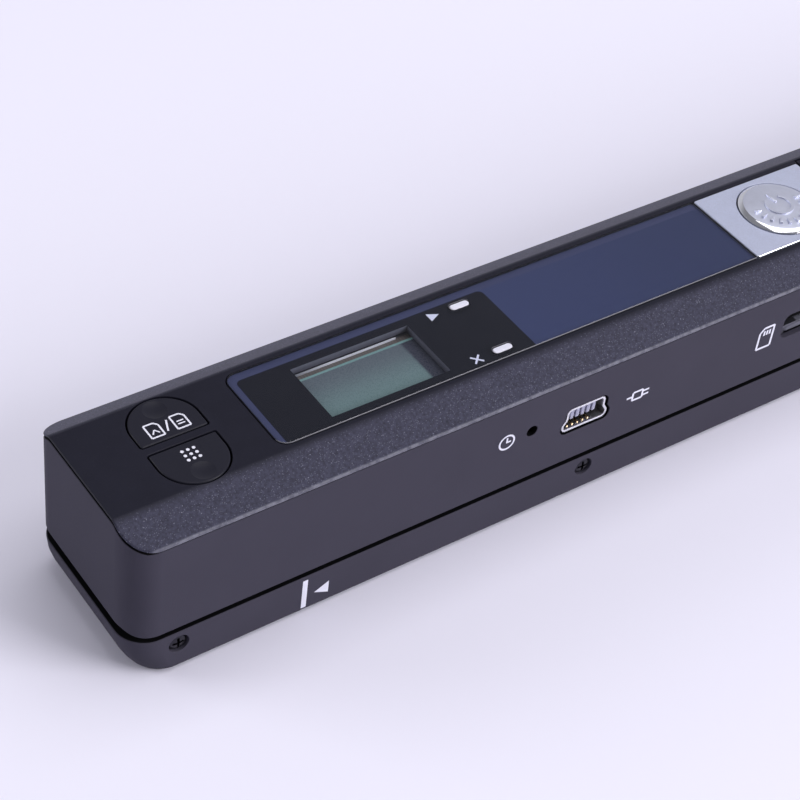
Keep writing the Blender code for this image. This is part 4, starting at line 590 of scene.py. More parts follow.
def socket_steel(paint):
    return metal(paint, (0.94, 0.94, 0.97, 1), 0.30, (1, 0.2, 1), 0.001)


def card_steel(paint):
    return metal(paint, (0.16, 0.16, 0.19, 1), 0.48, (1, 0.2, 1), 0.001)


def black_steel(paint):
    return metal(paint, (0.040, 0.039, 0.048, 1), 0.30, (1, 1, 1), 0.003)


def bronze(paint):
    return metal(paint, (0.42, 0.27, 0.13, 1), 0.38, (0.3, 1, 1), 0.003)


def gold(paint):
    return metal(paint, (0.58, 0.44, 0.26, 1), 0.25, (1, 0.3, 1), 0.001)


def rubber(paint):
    """Black rubber with dusty patches."""
    dust = paint.noise(1.4, 4.0, 0.7)
    grain = paint.noise(6.0, 2.0)
    base = paint.mix((0.018, 0.018, 0.019, 1), (0.060, 0.058, 0.056, 1), dust.ramp(0.45, 0.8))
    return paint.coat(base, 0.78 + grain * 0.14, Specular_IOR_Level=0.3, Normal=paint.bump(grain, 0.015))


def circuit_board(paint):
    """Green solder mask over copper tracks, with tinned pads."""
    row = (paint.axes()[1] * 1.6 + paint.noise(0.18, 1.0) * 5.0) % 1
    rows = row.ramp(0.40, 0.55) * (1 - row.ramp(0.80, 0.95))
    base = paint.mix((0.012, 0.105, 0.042, 1), (0.030, 0.190, 0.070, 1), rows)
    pads = paint.specks(0.55, 0.35, 0.26)
    base = paint.mix(base, (0.62, 0.60, 0.52, 1), pads)
    return paint.coat(base, 0.34 + paint.noise(3.0) * 0.16, Metallic=pads * 0.9,
                      Normal=paint.bump(rows + pads, 0.02))


def clear_acrylic(paint):
    """Clear rods and light guides."""
    rods = ((paint.axes()[0] / 0.3) % 1).ramp(0.2, 0.8)
    base = paint.mix((0.62, 0.70, 0.72, 1), (0.86, 0.90, 0.91, 1), rods)
    return paint.coat(base, 0.08 + paint.noise(2.0) * 0.06)


def scan_glass(paint):
    """The strip of glass that faces the paper, with the sensor dark behind it."""
    lens = abs(paint.axes()[1] - LENS_Y).ramp(0.8, 0.95)
    base = paint.mix((0.200, 0.270, 0.250, 1), (0.020, 0.024, 0.026, 1), lens)
    smear = paint.noise(0.3, 3.0)
    return paint.coat(base, 0.03 + smear * 0.05, Specular_IOR_Level=0.6)


def cell_wrap(paint):
    """A plain cell: a dark sleeve, a copper-coloured shoulder and a bare steel end."""
    x, y, z = paint.axes()
    reach = ((x - CELL[0].x) % CELL_STEP) / (CELL[1].x - CELL[0].x)
    height = z - middle_of("left_cell", "z")[0]
    sleeve = ((y * y + height * height) ** 0.5).ramp(6.6, 6.8)
    shoulder = reach.ramp(0.795, 0.800)
    base = paint.mix((0.030, 0.055, 0.120, 1), (0.52, 0.30, 0.16, 1), shoulder)
    stripe = reach.ramp(0.775, 0.778) * (1 - reach.ramp(0.787, 0.790))
    base = paint.mix(base, (0.70, 0.70, 0.72, 1), stripe)
    base = paint.mix((0.58, 0.58, 0.60, 1), base, sleeve)
    shine = paint.noise(1.0, 2.0)
    return paint.coat(base, 0.26 + shine * 0.16, Metallic=(1 - sleeve).most(shoulder * 0.8))


def cable_film(paint):
    """Flat cable: pale film with tinned tracks."""
    tracks = ((paint.axes()[1] / 0.5) % 1).ramp(0.4, 0.5)
    base = paint.mix((0.78, 0.78, 0.75, 1), (0.55, 0.54, 0.52, 1), tracks)
    return paint.coat(base, 0.35 + paint.noise(2.0) * 0.2)


def printed_mark(paint):
    """White printing ink."""
    return clouded(paint, hue("mark"), (4.0, 3.0), (0.90, 0.16), (0.5, 0.2))


def studio_floor(paint):
    """Plain pale paper, barely uneven."""
    cloud = paint.noise(0.004, 2.0)
    return paint.coat(paint.shade(hue("floor"), 0.985 + cloud * 0.03), 0.85, Specular_IOR_Level=0.1)


MADE = {}


def finish(make):
    """The material that a finish function makes, once, under the function's own name."""
    if make not in MADE:
        MADE[make] = make(Paint(make.__name__))
    return MADE[make]


# Outlines, as lists of points on a plane

def arc(middle, radius, start, stop, steps):
    """Points on a circle between two angles in degrees."""
    points = []
    for step in range(steps + 1):
        angle = math.radians(start + (stop - start) * step / steps)
        points.append((middle[0] + radius * math.cos(angle), middle[1] + radius * math.sin(angle)))
    return points


def circle(middle, radius, steps=48):
    return arc(middle, radius, 0, 360, steps)[:-1]


def rounded(corners, steps=6):
    """An outline from corners given as u, v and radius."""
    points = []
    for i, (u, v, radius) in enumerate(corners):
        here = Vector((u, v))
        before = (Vector(corners[i - 1][:2]) - here).normalized()
        after = (Vector(corners[(i + 1) % len(corners)][:2]) - here).normalized()
        half = before.angle(after) / 2
        if not radius or half > math.radians(89):
            points.append((u, v))
            continue
        middle = here + (before + after).normalized() * radius / math.sin(half)
        first = here + before * radius / math.tan(half) - middle
        last = here + after * radius / math.tan(half) - middle
        turn = math.pi - 2 * half
        for step in range(steps + 1):
            t = step / steps
            spoke = first * math.sin((1 - t) * turn) + last * math.sin(t * turn)
            points.append(tuple(middle + spoke / math.sin(turn)))
    return points


def rectangle(low, high, radius=0.0, steps=6):
    corners = ((low[0], low[1]), (high[0], low[1]), (high[0], high[1]), (low[0], high[1]))
    radii = radius if isinstance(radius, tuple) else (radius,) * 4
    return rounded([(*corner, r) for corner, r in zip(corners, radii)], steps)


def pill(middle, length_of, width):
    half = width / 2
    reach = length_of / 2 - half
    right = arc((middle[0] + reach, middle[1]), half, -90, 90, 12)
    return right + arc((middle[0] - reach, middle[1]), half, 90, 270, 12)


def offset(outline, distance):
    """The outline moved outwards, or inwards where the distance is negative."""
    count = len(outline)
    area = sum(outline[i - 1][0] * outline[i][1] - outline[i][0] * outline[i - 1][1] for i in range(count))
    side = distance if area > 0 else -distance
    moved = []
    for i, (u, v) in enumerate(outline):
        first = Vector((u - outline[i - 1][0], v - outline[i - 1][1])).normalized()
        last = Vector((outline[(i + 1) % count][0] - u, outline[(i + 1) % count][1] - v)).normalized()
        share = 1 + first.dot(last)
        moved.append((u + side * (first.y + last.y) / share, v - side * (first.x + last.x) / share))
    return moved


def rounding(radius, steps=4):
    """Inset and rise of points round an edge, from its face to its wall."""
    quarter = math.pi / 2
    turns = [quarter * step / steps for step in range(steps + 1)]
    return [(radius * (1 - math.sin(t)), radius * (1 - math.cos(t))) for t in turns]


# Meshes

def loft(rings, closed=False, strips=False):
    """A skin through rings of points, capped at both ends or closed on itself."""
    bm = bmesh.new()
    loops = [[bm.verts.new(point) for point in points] for points in rings]
    following = loops[1:] + (loops[:1] if closed else [])
    count = len(rings[0])
    for near, far in zip(loops, following):
        for i in range(count):
            j = (i + 1) % count
            bm.faces.new((near[i], near[j], far[j], far[i]))
    if not closed:
        for loop in (loops[0], loops[-1]):
            cap(bm, loop, strips)
    bmesh.ops.recalc_face_normals(bm, faces=bm.faces)
    return bm


def cap(bm, loop, strips):
    """Fill a ring with one face, or with strips from end to end where it isn't flat."""
    if not strips:
        bm.faces.new(loop)
        return
    for i in range(len(loop) // 2 - 1):
        bm.faces.new((loop[i], loop[i + 1], loop[-2 - i], loop[-1 - i]))


def ring(outline, level, axis):
    """An outline as points in space, square to an axis at a level."""
    if axis == "x":
        return [(level, u, v) for u, v in outline]
    if axis == "y":
        return [(u, level, v) for u, v in outline]
    return [(u, v, level) for u, v in outline]


def slab(outline, low, high, axis="z", top=0.0, bottom=0.0, steps=4):
    """An outline carried along an axis, with its edges rounded at either end."""
    rings = []
    for inset, rise in rounding(bottom, steps) if bottom else [(0, 0)]:
        rings.append(ring(offset(outline, -inset), low + rise, axis))
    for inset, rise in reversed(rounding(top, steps)) if top else [(0, 0)]:
        rings.append(ring(offset(outline, -inset), high - rise, axis))
    return loft(rings)


def mouth(outline, deep, face, axis="z", radius=0.1, steps=3):
    """A cutter for a hole that opens at a face with a rounded edge."""
    way = 1 if face > deep else -1
    rings = [ring(outline, deep, axis)]
    for inset, rise in reversed(rounding(radius, steps)[1:]):
        rings.append(ring(offset(outline, inset), face - way * rise, axis))
    rings.append(ring(offset(outline, radius), face + way * 0.003, axis))
    rings.append(ring(offset(outline, radius), face + way * OVER, axis))
    return loft(rings)


def turned(profile, middle, axis="z", steps=48):
    """A profile of (radius, level) turned about an axis."""
    return loft([ring(circle(middle, radius, steps), level, axis) for radius, level in profile])


def rod(radius, low, high, middle, axis="x", steps=24):
    """A plain round bar."""
    return turned([(radius, low), (radius, high)], middle, axis, steps)


def block(low, high, radius=0.0):
    """A box between two corners, with its edges rounded."""
    bm = slab(rectangle(low[:2], high[:2]), low[2], high[2])
    if radius:
        bmesh.ops.bevel(bm, geom=bm.edges[:], offset=radius, segments=2, profile=0.5, affect="EDGES")
    return bm


def pair(low, high):
    """A block and its mirror image across the body's middle."""
    return [block((low[0], -high[1], low[2]), (high[0], -low[1], high[2])), block(low, high)]


def soften(bm, radius):
    """Round every sharp edge."""
    sharp = [edge for edge in bm.edges if edge.calc_face_angle(0) > math.radians(50)]
    bmesh.ops.bevel(bm, geom=sharp, offset=radius, segments=3, profile=0.5, affect="EDGES",
                    clamp_overlap=True)
    return bm


def gather(meshes):
    """Several meshes as one."""
    whole = bmesh.new()
    for bm in meshes:
        mesh = bpy.data.meshes.new("part")
        bm.to_mesh(mesh)
        bm.free()
        whole.from_mesh(mesh)
        bpy.data.meshes.remove(mesh)
    return whole


def helper(name, bm):
    """A mesh as a scratch object."""
    mesh = bpy.data.meshes.new(name)
    bm.to_mesh(mesh)
    bm.free()
    made = bpy.data.objects.new(name, mesh)
    bpy.context.scene.collection.objects.link(made)
    return made


def worked(bm, added, removed=()):
    """A mesh with some meshes joined to it, and then others cut out of it."""
    body = helper("work", bm)
    tools = []
    for operation, meshes in (("UNION", added), ("DIFFERENCE", removed)):
        for tool in meshes:
            tools.append(helper("tool", tool))
            change = body.modifiers.new("step", "BOOLEAN")
            change.operation = operation
            change.object = tools[-1]
            change.solver = "EXACT"
    result = bmesh.new()
    result.from_object(body, bpy.context.evaluated_depsgraph_get())
    for old in [body, *tools]:
        mesh = old.data
        bpy.data.objects.remove(old, do_unlink=True)
        bpy.data.meshes.remove(mesh)
    if not result.faces:
        raise RuntimeError("a cut left nothing of its piece")
    return result


def cut(bm, *tools):
    return worked(bm, (), tools)


def join(bm, *tools):
    return worked(bm, tools)


def piece(name, bm, makes, body, nodes=(), choose=None, angle=35):
    """A finished piece: its mesh in metres, its materials, and the body it rides on."""
    bmesh.ops.remove_doubles(bm, verts=bm.verts, dist=0.0005)
    bmesh.ops.dissolve_degenerate(bm, edges=bm.edges, dist=0.0004)
    if choose:
        for face in bm.faces:
            face.material_index = int(choose(face))
    bmesh.ops.scale(bm, vec=(MM, MM, MM), verts=bm.verts)
    made = helper(name, bm)
    made.data.name = name
    for make in makes if isinstance(makes, (list, tuple)) else (makes,):
        made.data.materials.append(finish(make))
    made.data.shade_smooth()
    made.data.set_sharp_from_angle(angle=math.radians(angle))
    evener = made.modifiers.new("even_normals", "WEIGHTED_NORMAL")
    evener.keep_sharp = True
    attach(made, body)
    if nodes:
        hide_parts(*nodes)
    return made


# The body's section and outline

def top_height(y):
    """Height of the body's top surface at this Y."""
    slope = SLOPE_DROP / SLOPE_RUN
    blend = shape("crease_blend")
    over = abs(y) - FLAT_HALF
    if over <= -blend:
        return TOP
    if over >= blend:
        return TOP - slope * over
    return TOP - slope * (over + blend) ** 2 / (4 * blend)


def end_levels(inset):
    """Y of the points round one end of the body's outline, back to front."""
    steps = bpy.context.scene.scanner_shape.corner_steps
    blend = shape("crease_blend")
    radius = CORNER - inset
    levels = [FLAT_HALF + blend * share for share in (-1, -0.5, 0, 0.5, 1)]
    for step in range(steps + 1):
        levels.append(HALF_DEPTH - CORNER + radius * math.sin(math.pi / 2 * step / steps))
    levels.sort(reverse=True)
    return levels + [-y for y in reversed(levels)]


def end_reach(y, inset):
    """How far the body's outline reaches from the middle along X at this Y."""
    radius = CORNER - inset
    over = abs(y) - (HALF_DEPTH - CORNER)
    if over <= 0:
        return HALF_LENGTH - inset
    return HALF_LENGTH - CORNER + math.sqrt(max(radius * radius - over * over, 0))


def body_ring(inset, height, drawn=0.0):
    """The body's outline moved in by inset, with its ends drawn in, at a height that may follow Y."""
    level = height if callable(height) else (lambda y: height)
    levels = end_levels(inset)
    left = [(drawn - end_reach(y, inset), y, level(y)) for y in levels]
    right = [(end_reach(y, inset) - drawn, y, level(y)) for y in reversed(levels)]
    return left + right


def tray_draw(level):
    """How far the tray's ends are drawn in at a height: they lean in towards the base."""
    share = max(TRAY_TOP - level, 0) / (TRAY_TOP - UNDERSIDE)
    return shape("tray_lean") * share ** 2


def below_top(drop):
    """A height that stays this far below the top surface."""
    return lambda y: top_height(y) - drop


def inward(y, start, run):
    """0 up to start in from the long sides, 1 once run is passed as well, and even between."""
    return min(max((HALF_DEPTH - start - abs(y)) / run, 0), 1)


def below_seam(y):
    """Height of the middle housing's top edge: the seam narrows towards the long sides."""
    side, end = shape("seam_side"), shape("seam_end")
    return top_height(y) - RIM - side - (end - side) * inward(y, *SEAM_FADE)


def base_height(rise):
    """Height of the middle housing's bottom edge: the gap under it is wider at the ends."""
    def level(y):
        share = inward(y, *PARTING_FADE)
        return MID_BOTTOM + rise + PARTING_MORE * share * share * (3 - 2 * share)
    return level


# Outlines that several pieces share

def grown(corners, grow):
    """Two corners moved apart."""
    (a, b), (c, d) = corners
    return (a - grow, b - grow), (c + grow, d + grow)


def key_outline(side):
    """A D with its flat edge near the middle line and its round end outwards."""
    middle, = middle_of("format_button" if side > 0 else "dpi_button", "x")
    centre, near = side * (KEY_TIP - KEY_RADIUS), side * KEY_NEAR
    left, right = middle - KEY_RADIUS, middle + KEY_RADIUS
    flat = rounded([(left, centre, 0), (left, near, 0.25), (right, near, 0.25), (right, centre, 0)], 4)
    return flat + arc((middle, centre), KEY_RADIUS, 0, side * 180, 32)[1:-1]


def window_outline(grow, right):
    """The window's outline, with its two left corners rounded."""
    low, high = (WINDOW_LEFT - grow, WINDOW[0].y - grow), (right + grow, WINDOW[1].y + grow)
    return rectangle(low, high, (1.8 + grow, 0.3, 0.3, 1.8 + grow), 8)


def light_outline(node, grow=0.0):
    return offset(pill(middle_of(node, "xy"), *LIGHT_SIZE), grow)


def usb_outline(inset):
    """The socket's section: wide below and stepped in above."""
    wide, narrow, tall = 4.0, 3.4, 2.0
    half = [(wide, -tall, 0.75), (wide, -0.75, 0.45), (narrow, 0.15, 0.6), (narrow, tall, 0.8)]
    mirrored = [(-u, v, radius) for u, v, radius in reversed(half)]
    corners = [(USB_MIDDLE[0] + u, USB_MIDDLE[1] + v, radius) for u, v, radius in half + mirrored]
    return offset(rounded(corners, 5), -inset)


# Shells

def cover_mesh():
    """The top cover: a thin edge all round, over a plug that sits inside the middle housing."""
    edge = min(shape("edge_round"), RIM - 0.12)
    rings = [body_ring(PLUG_INSET, below_top(ROOF)), body_ring(PLUG_INSET, below_top(RIM)),
             body_ring(CHAMFER, below_top(RIM)), body_ring(0, below_top(RIM - CHAMFER))]
    rings += [body_ring(inset, below_top(drop)) for inset, drop in reversed(rounding(edge, 5))]
    return loft(rings, strips=True)


def cover_cutters():
    """Pockets and holes in the top cover."""
    soft = shape("mouth_round")
    below, above = TOP - ROOF - OVER, RECESS_FLOOR + OVER
    start, stop = DOOR[0].x - DOOR_GAP, HALF_LENGTH + OVER
    half, tongue = DOOR_HALF + DOOR_GAP, TONGUE_HALF + TONGUE_GAP
    cutters = [mouth(window_outline(0.15, DOOR[0].x + OVER), RECESS_FLOOR, TOP, radius=soft),
               block((start, -half, below), (stop, half, TOP + OVER)),
               block((start, -tongue, DOOR[0].z - TONGUE_GAP), (stop, tongue, TOP - 1.1)),
               slab(rectangle(*grown(VIEW, 0.9), 0.4), below, above),
               rod(BUTTON_RADIUS + KEY_GAP, below, TOP + OVER, BUTTON, "z", 48)]
    cutters += [slab(light_outline(node, 0.25), below, above) for node in LIGHTS]
    return cutters + [mouth(offset(key_outline(side), KEY_GAP), below, TOP, radius=soft) for side in (-1, 1)]


def housing_mesh():
    """The middle housing's wall, with a rebate inside its bottom edge."""
    rebate, step = LIP_INSET - LIP_GAP, LIP_TOP + LIP_GAP
    rings = [body_ring(inset, base_height(rise)) for inset, rise in rounding(shape("edge_round"), 4)]
    rings += [body_ring(0, lambda y: below_seam(y) - CHAMFER), body_ring(CHAMFER, below_seam),
              body_ring(WALL, below_seam), body_ring(WALL, step), body_ring(rebate, step),
              body_ring(rebate, base_height(0))]
    return loft(rings, closed=True)


def tray_mesh():
    """The lower housing: a tray with a lip that reaches into the middle housing."""
    levels = [(inset, UNDERSIDE + rise) for inset, rise in rounding(shape("base_round"), 5)]
    levels += [(0, UNDERSIDE + (TRAY_TOP - UNDERSIDE) * share) for share in (0.25, 0.45, 0.7)]
    levels += [(inset, TRAY_TOP - drop) for inset, drop in reversed(rounding(0.4 * shape("edge_round"), 3))]
    rings = [body_ring(inset, level, tray_draw(level)) for inset, level in levels]
    rings += [body_ring(LIP_INSET, TRAY_TOP), body_ring(LIP_INSET, LIP_TOP), body_ring(WALL, LIP_TOP),
              body_ring(WALL, TRAY_FLOOR, 0.8)]
    return loft(rings, strips=True)


def bay_parts():
    """Floor, walls and ribs of the battery bay, inside the middle housing."""
    start, stop = CELL_BAY
    reach = HALF_DEPTH - WALL / 2
    thick, wall, gap = 0.9, 1.2, 0.3
    base = CELL[0].z - gap - thick
    floor = block((start, -reach, base), (stop + wall, reach, base + thick))
    walls = [block((x, -reach, base), (x + wall, reach, DOOR[0].z - gap)) for x in CELL_BAY]
    return [floor, *walls, *pair((start + wall / 2, 7.65, base + 0.2), (stop + wall / 2, 8.85, base + 6.1))]


def at_end(node, inset):
    """X of a place this far in from the end of the body that a piece lies near."""
    return math.copysign(HALF_LENGTH - inset, box(node)[0].x)


def bearing_parts():
    """Blocks inside the tray's ends that hold the bushes, and two columns for the encoder wheel."""
    parts = []
    foot, half, top = TRAY_FLOOR - 0.3, COLUMN_HALF, COLUMN_HALF - 0.01
    for node in BUSHES:
        y, = middle_of(node, "y")
        start, stop = sorted((at_end(node, BLOCK_START), at_end(node, BLOCK_STOP)))
        parts.append(block((start, y - BEARING_HALF, foot), (stop, y + BEARING_HALF, TRAY_TOP)))
    wheel = box("encoder_wheel")
    y, z = middle_of("encoder_wheel", "yz")
    column = rectangle((y - half, foot), (y + half, z + half), (0, 0, top, top), 10)
    for start, stop in ((BLOCK_START - HALF_LENGTH, wheel[0].x + 2.2), (wheel[1].x - 2.3, wheel[1].x - 0.2)):
        parts.append(slab(column, start, stop, "x"))
    return parts


def tray_cutters():
    """Bores, wheel openings, the scan opening, the screw holes and room for the gear."""
    above = TRAY_FLOOR + OVER
    radius, *ends = BUSH_BORE
    cutters = [rod(radius, *sorted(at_end(node, inset) for inset in ends), middle_of(node, "yz"))
               for node in BUSHES]
    low, high = box("encoder_wheel")
    cutters.append(rod(ENCODER_BORE, low.x - 0.15, high.x + OVER, middle_of("encoder_wheel", "yz")))
    openings = []
    beyond, half = WHEEL_OPENING
    for node in WHEELS:
        low, high = box(node)
        y, = middle_of(node, "y")
        openings.append(rectangle((low.x - beyond, y - half), (high.x + beyond, y + half), 0.5))
    low, high = box("scan_glass")
    openings.append(rectangle(*grown((low[:2], high[:2]), 0.3), 0.4))
    cutters += [mouth(outline, above, UNDERSIDE, radius=0.15) for outline in openings]
    for node in SCREWS:
        side = math.copysign(1, box(node)[0].y)
        hole = circle(middle_of(node, "xz"), SCREW_RADIUS + 0.2, 32)
        cutters.append(mouth(hole, side * (HALF_DEPTH - SCREW_DEPTH), side * HALF_DEPTH, "y", 0.08))
    low, high = box("drive_gear")
    cutters.append(block((low.x - 0.4, low.y - 0.3, low.z - 0.3), (high.x + 0.4, high.y + 0.3, above)))
    return cutters


def in_painted_shade(face):
    """True where a face lies within the wall of the middle housing, apart from the card's slot: these faces
    get painted shade.
    """
    middle = face.calc_center_median()
    (left, low), (right, high) = grown(SLOT, 0.3)
    if left < middle.x < right and low < middle.z < high:
        return False
    return abs(middle.x) < end_reach(middle.y, 0.42) and abs(middle.y) < HALF_DEPTH - 0.12


class SCANNER_OT_top_cover(Operator):
    """Make the top cover with its sloped edges and pockets"""

    bl_idname = "scanner.top_cover"
    bl_label = "Top cover"

    def execute(self, context):
        near, far = DOOR_HALF + DOOR_GAP, HALF_DEPTH - PLUG_INSET
        rails = pair((DOOR[0].x, near, DOOR[0].z - 1.3), (HALF_LENGTH - CORNER, far, top_height(far) - RIM))
        piece("cover_shell", worked(cover_mesh(), rails, cover_cutters()), flecked_paint, "scanner",
              ["top_cover"])
        return {"FINISHED"}


class SCANNER_OT_housings(Operator):
    """Make the middle housing and the lower tray"""

    bl_idname = "scanner.housings"
    bl_label = "Housings"

    def execute(self, context):
        both = (housing_plastic, painted_shade_plastic)
        tongue = TONGUE_HALF + TONGUE_GAP
        cutters = [block((HALF_LENGTH - CORNER, -tongue, DOOR[0].z - TONGUE_GAP),
                         (HALF_LENGTH + OVER, tongue, TOP + OVER))]
        for hole in (usb_outline(-0.42), rectangle(*SLOT, 1.2, 8), circle(PINHOLE, 0.92, 32)):
            cutters.append(mouth(hole, WALL + OVER - HALF_DEPTH, -HALF_DEPTH, "y", shape("mouth_round")))
        # Faces inside the middle housing's skin, seen through gaps and holes, get near-black plastic as
        # painted shade.
        piece("middle_shell", worked(housing_mesh(), bay_parts(), cutters), both, "scanner",
              ["mid_housing"], choose=in_painted_shade)
        # The tray's ledge and lip above its top edge, in the gap under the middle housing, get near-black
        # plastic as painted shade.
        piece("lower_tray", worked(tray_mesh(), bearing_parts(), tray_cutters()), both, "scanner",
              ["lower_housing"],
              choose=lambda face: face.calc_center_median().z > TRAY_TOP - 0.005)
        return {"FINISHED"}


class SCANNER_OT_battery_door(Operator):
    """Make the sliding battery door with its grip and arrow"""

    bl_idname = "scanner.battery_door"
    bl_label = "Battery door"

    def execute(self, context):
        low, high = DOOR
        root, under = DOOR_HALF - 1.2, high.z - 1.4
        section = [(-TONGUE_HALF, low.z), (-root, low.z), (-root, under), (root, under), (root, low.z),
                   (TONGUE_HALF, low.z), (TONGUE_HALF, under), (DOOR_HALF, under), (DOOR_HALF, high.z),
                   (-DOOR_HALF, high.z), (-DOOR_HALF, under), (-TONGUE_HALF, under)]
        door = soften(slab(section, low.x, high.x, "x"), 0.14)
        end = block((high.x - 1.3, -root - 0.3, low.z + 0.02), (high.x - 0.02, root + 0.3, under + 0.3), 0.1)
        tools = []
        for x in (4.0, 5.6, 7.2, 8.8, 10.4):
            groove = rectangle((low.x + x, -4.5), (low.x + x + 0.7, 4.5), 0.3)
            tools.append(mouth(groove, high.z - 0.4, high.z, radius=0.12))
        arrow = [(low.x + 14.2, -2.0, 0.2), (low.x + 17.4, 0.0, 0.2), (low.x + 14.2, 2.0, 0.2)]
        tools.append(mouth(rounded(arrow, 3), high.z - 0.25, high.z, radius=0.08))
        piece("door_panel", cut(join(door, end), *tools), flecked_paint, "battery_cover",
              ["battery_door"])
        return {"FINISHED"}


# Window, display and lights

class SCANNER_OT_window(Operator):
    """Make the clear window, the printed film and the display"""

    bl_idname = "scanner.window"
    bl_label = "Window and display"

    def execute(self, context):
        right, top = WINDOW[1].x, WINDOW[1].z
        window = slab(window_outline(0, right), PRINT_TOP + 0.03, top, top=shape("window_round"))
        holes = [mouth(light_outline(node, HOLE_GAP), PRINT_TOP - OVER, top, radius=0.05) for node in LIGHTS]
        piece("window_sheet", cut(window, *holes), (window_acrylic, acrylic_edge_painted_shade, acrylic_glint), "scanner",
              ["display_window"], choose=window_face)
        film = slab(window_outline(-0.04, right), FILM[0].z, PRINT_TOP)
        outlines = [rectangle(*VIEW, 0.15), *(light_outline(node, HOLE_GAP) for node in LIGHTS)]
        openings = [slab(outline, FILM[0].z - OVER, PRINT_TOP + OVER) for outline in outlines]
        piece("printed_sheet", cut(film, *openings), (printed_film, sheet_edge), "scanner",
              ["window_mask"], choose=lambda face: face.normal.z <= 0.5)
        self.display()
        return {"FINISHED"}

    def display(self):
        """Lower glass with a bare ledge, upper glass in front of it, and the sealing strip."""
        low, high = box("lcd_glass")
        top, upper = DISPLAY_TOP, DISPLAY_TOP - 0.34
        (left, _), (right, _) = VIEW
        base = block(low[:], (high.x, high.y, top - 0.35), 0.05)
        cover = block((low.x, low.y, upper), (high.x, EDGE_LINE + 0.3, top), 0.05)
        seal = block((left + 0.3, WHITE_LINE[0], upper), (right - 1.9, WHITE_LINE[1], top), 0.04)
        piece("display_base", base, display_ledge, "scanner", ["lcd_glass"])
        piece("display_cover", cover, display_glass, "scanner")
        piece("display_seal", seal, pale_seal, "scanner")


def window_face(face):
    """0 for the clear faces, 1 for the edges, drawn dark as painted shade, and 2 for the rounded front edge,
    drawn pale as a painted highlight.
    """
    if face.normal.z > 0.15 and face.normal.y < -0.2:
        return 2
    return abs(face.normal.z) < 0.97


class SCANNER_OT_lights(Operator):
    """Make the two indicator light pipes"""

    bl_idname = "scanner.lights"
    bl_label = "Indicator lights"

    def execute(self, context):
        for node in LIGHTS:
            low, high = box(node)
            flange = slab(light_outline(node, 0.45), low.z, low.z + 0.7)
            stem = slab(light_outline(node), low.z + 0.3, high.z, top=0.22, steps=5)
            piece(node + "_pipe", join(flange, stem), white_plastic, "scanner", [node])
        return {"FINISHED"}


# Keys, plate and button

class SCANNER_OT_keys(Operator):
    """Make the two keys with their finger dimples"""

    bl_idname = "scanner.keys"
    bl_label = "Keys"

    def execute(self, context):
        for side, node, body in KEYS:
            low, high = box(node)
            flange = slab(offset(key_outline(side), 0.3), low.z, low.z + 0.6)
            stem = slab(key_outline(side), low.z + 0.3, high.z, top=shape("key_round"))
            dish = dimple((*middle_of(node, "x"), side * (KEY_TIP - 2.0)), high.z)
            piece(node + "_cap", cut(join(flange, stem), dish), key_plastic, body, [node])
        return {"FINISHED"}


def dimple(middle, face):
    """A shallow dish with a soft edge, to cut with."""
    radius, depth = shape("dimple_radius"), shape("dimple_depth")
    profile = [(radius, face + OVER)]
    for share in falling(14):
        profile.append((radius * share, face - depth * (1 - share * share) - 0.003))
    return turned(profile, middle, "z", 40)


def falling(steps):
    """Shares from 1 down towards 0."""
    return [1 - step / steps for step in range(steps)]


class SCANNER_OT_plate_and_button(Operator):
    """Make the silver plate and the round button in it"""

    bl_idname = "scanner.plate_and_button"
    bl_label = "Plate and button"

    def execute(self, context):
        low, high = PLATE
        plate = slab(rectangle(low[:2], high[:2], 0.30, 3), low.z, high.z, top=shape("plate_round"))
        hole = mouth(circle(BUTTON, BUTTON_RADIUS + 0.22, 72), low.z - OVER, high.z, radius=0.08)
        piece("silver_plate", cut(plate, hole), (silver_paint, chrome), "scanner",
              ["button_plate"], choose=plate_highlight_edge)
        self.button()
        return {"FINISHED"}

    def button(self):
        """A flange, a wall, a bevelled rim and a low dome with a raised symbol."""
        low, high = box("scan_button")
        radius, inner = BUTTON_RADIUS, BUTTON_RADIUS - 0.65
        edge, dome, relief = 0.36, 0.30, 0.20
        top = high.z - edge - dome - relief
        flange = low.z + 0.6
        profile = [(radius + 1.0, low.z), (radius + 1.0, flange), (radius, flange), (radius, top - 0.06),
                   (radius - 0.06, top), (inner + 0.05, top + edge - 0.04), (inner - 0.05, top + edge)]
        for share in falling(16)[1:]:
            profile.append((inner * share, top + edge + dome * (1 - share * share)))
        button = join(turned(profile, BUTTON, steps=96), *button_symbol(high.z))
        piece("button_cap", button, (satin_metal, chrome), "scan_key", ["scan_button"],
              choose=lambda face: away(face) > inner - 0.02, angle=24)


def plate_highlight_edge(face):
    """True on the rounded front edge of the silver plate, and not in the button's hole: the polished metal
    there is a painted highlight.
    """
    return 0.1 < face.normal.z < 0.96 and face.normal.y < -0.2 and away(face) > BUTTON_RADIUS + 0.85


def away(face):
    """How far a face's middle is from the button's axis."""
    middle = face.calc_center_median()
    return math.hypot(middle.x - BUTTON[0], middle.y - BUTTON[1])


def button_symbol(top):
    """An open ring with a bar in its gap and a row of short ticks, as solids that stand out of the dome."""
    u, v = BUTTON
    opened = arc(BUTTON, 2.30, 125, 415, 40) + arc(BUTTON, 1.75, 415, 125, 40)
    shapes = [opened, rectangle((u - 0.27, v + 0.7), (u + 0.27, v + 2.9), 0.2, 4)]
    for angle in range(175, 366, 19):
        way = Vector((math.cos(math.radians(angle)), math.sin(math.radians(angle))))
        shapes.append(stroke(Vector(BUTTON) + way * 3.5, Vector(BUTTON) + way * 4.5, 0.42))
    return [slab(outline, top - 0.75, top - 0.02, top=0.05, steps=2) for outline in shapes]


# Sockets in the front wall

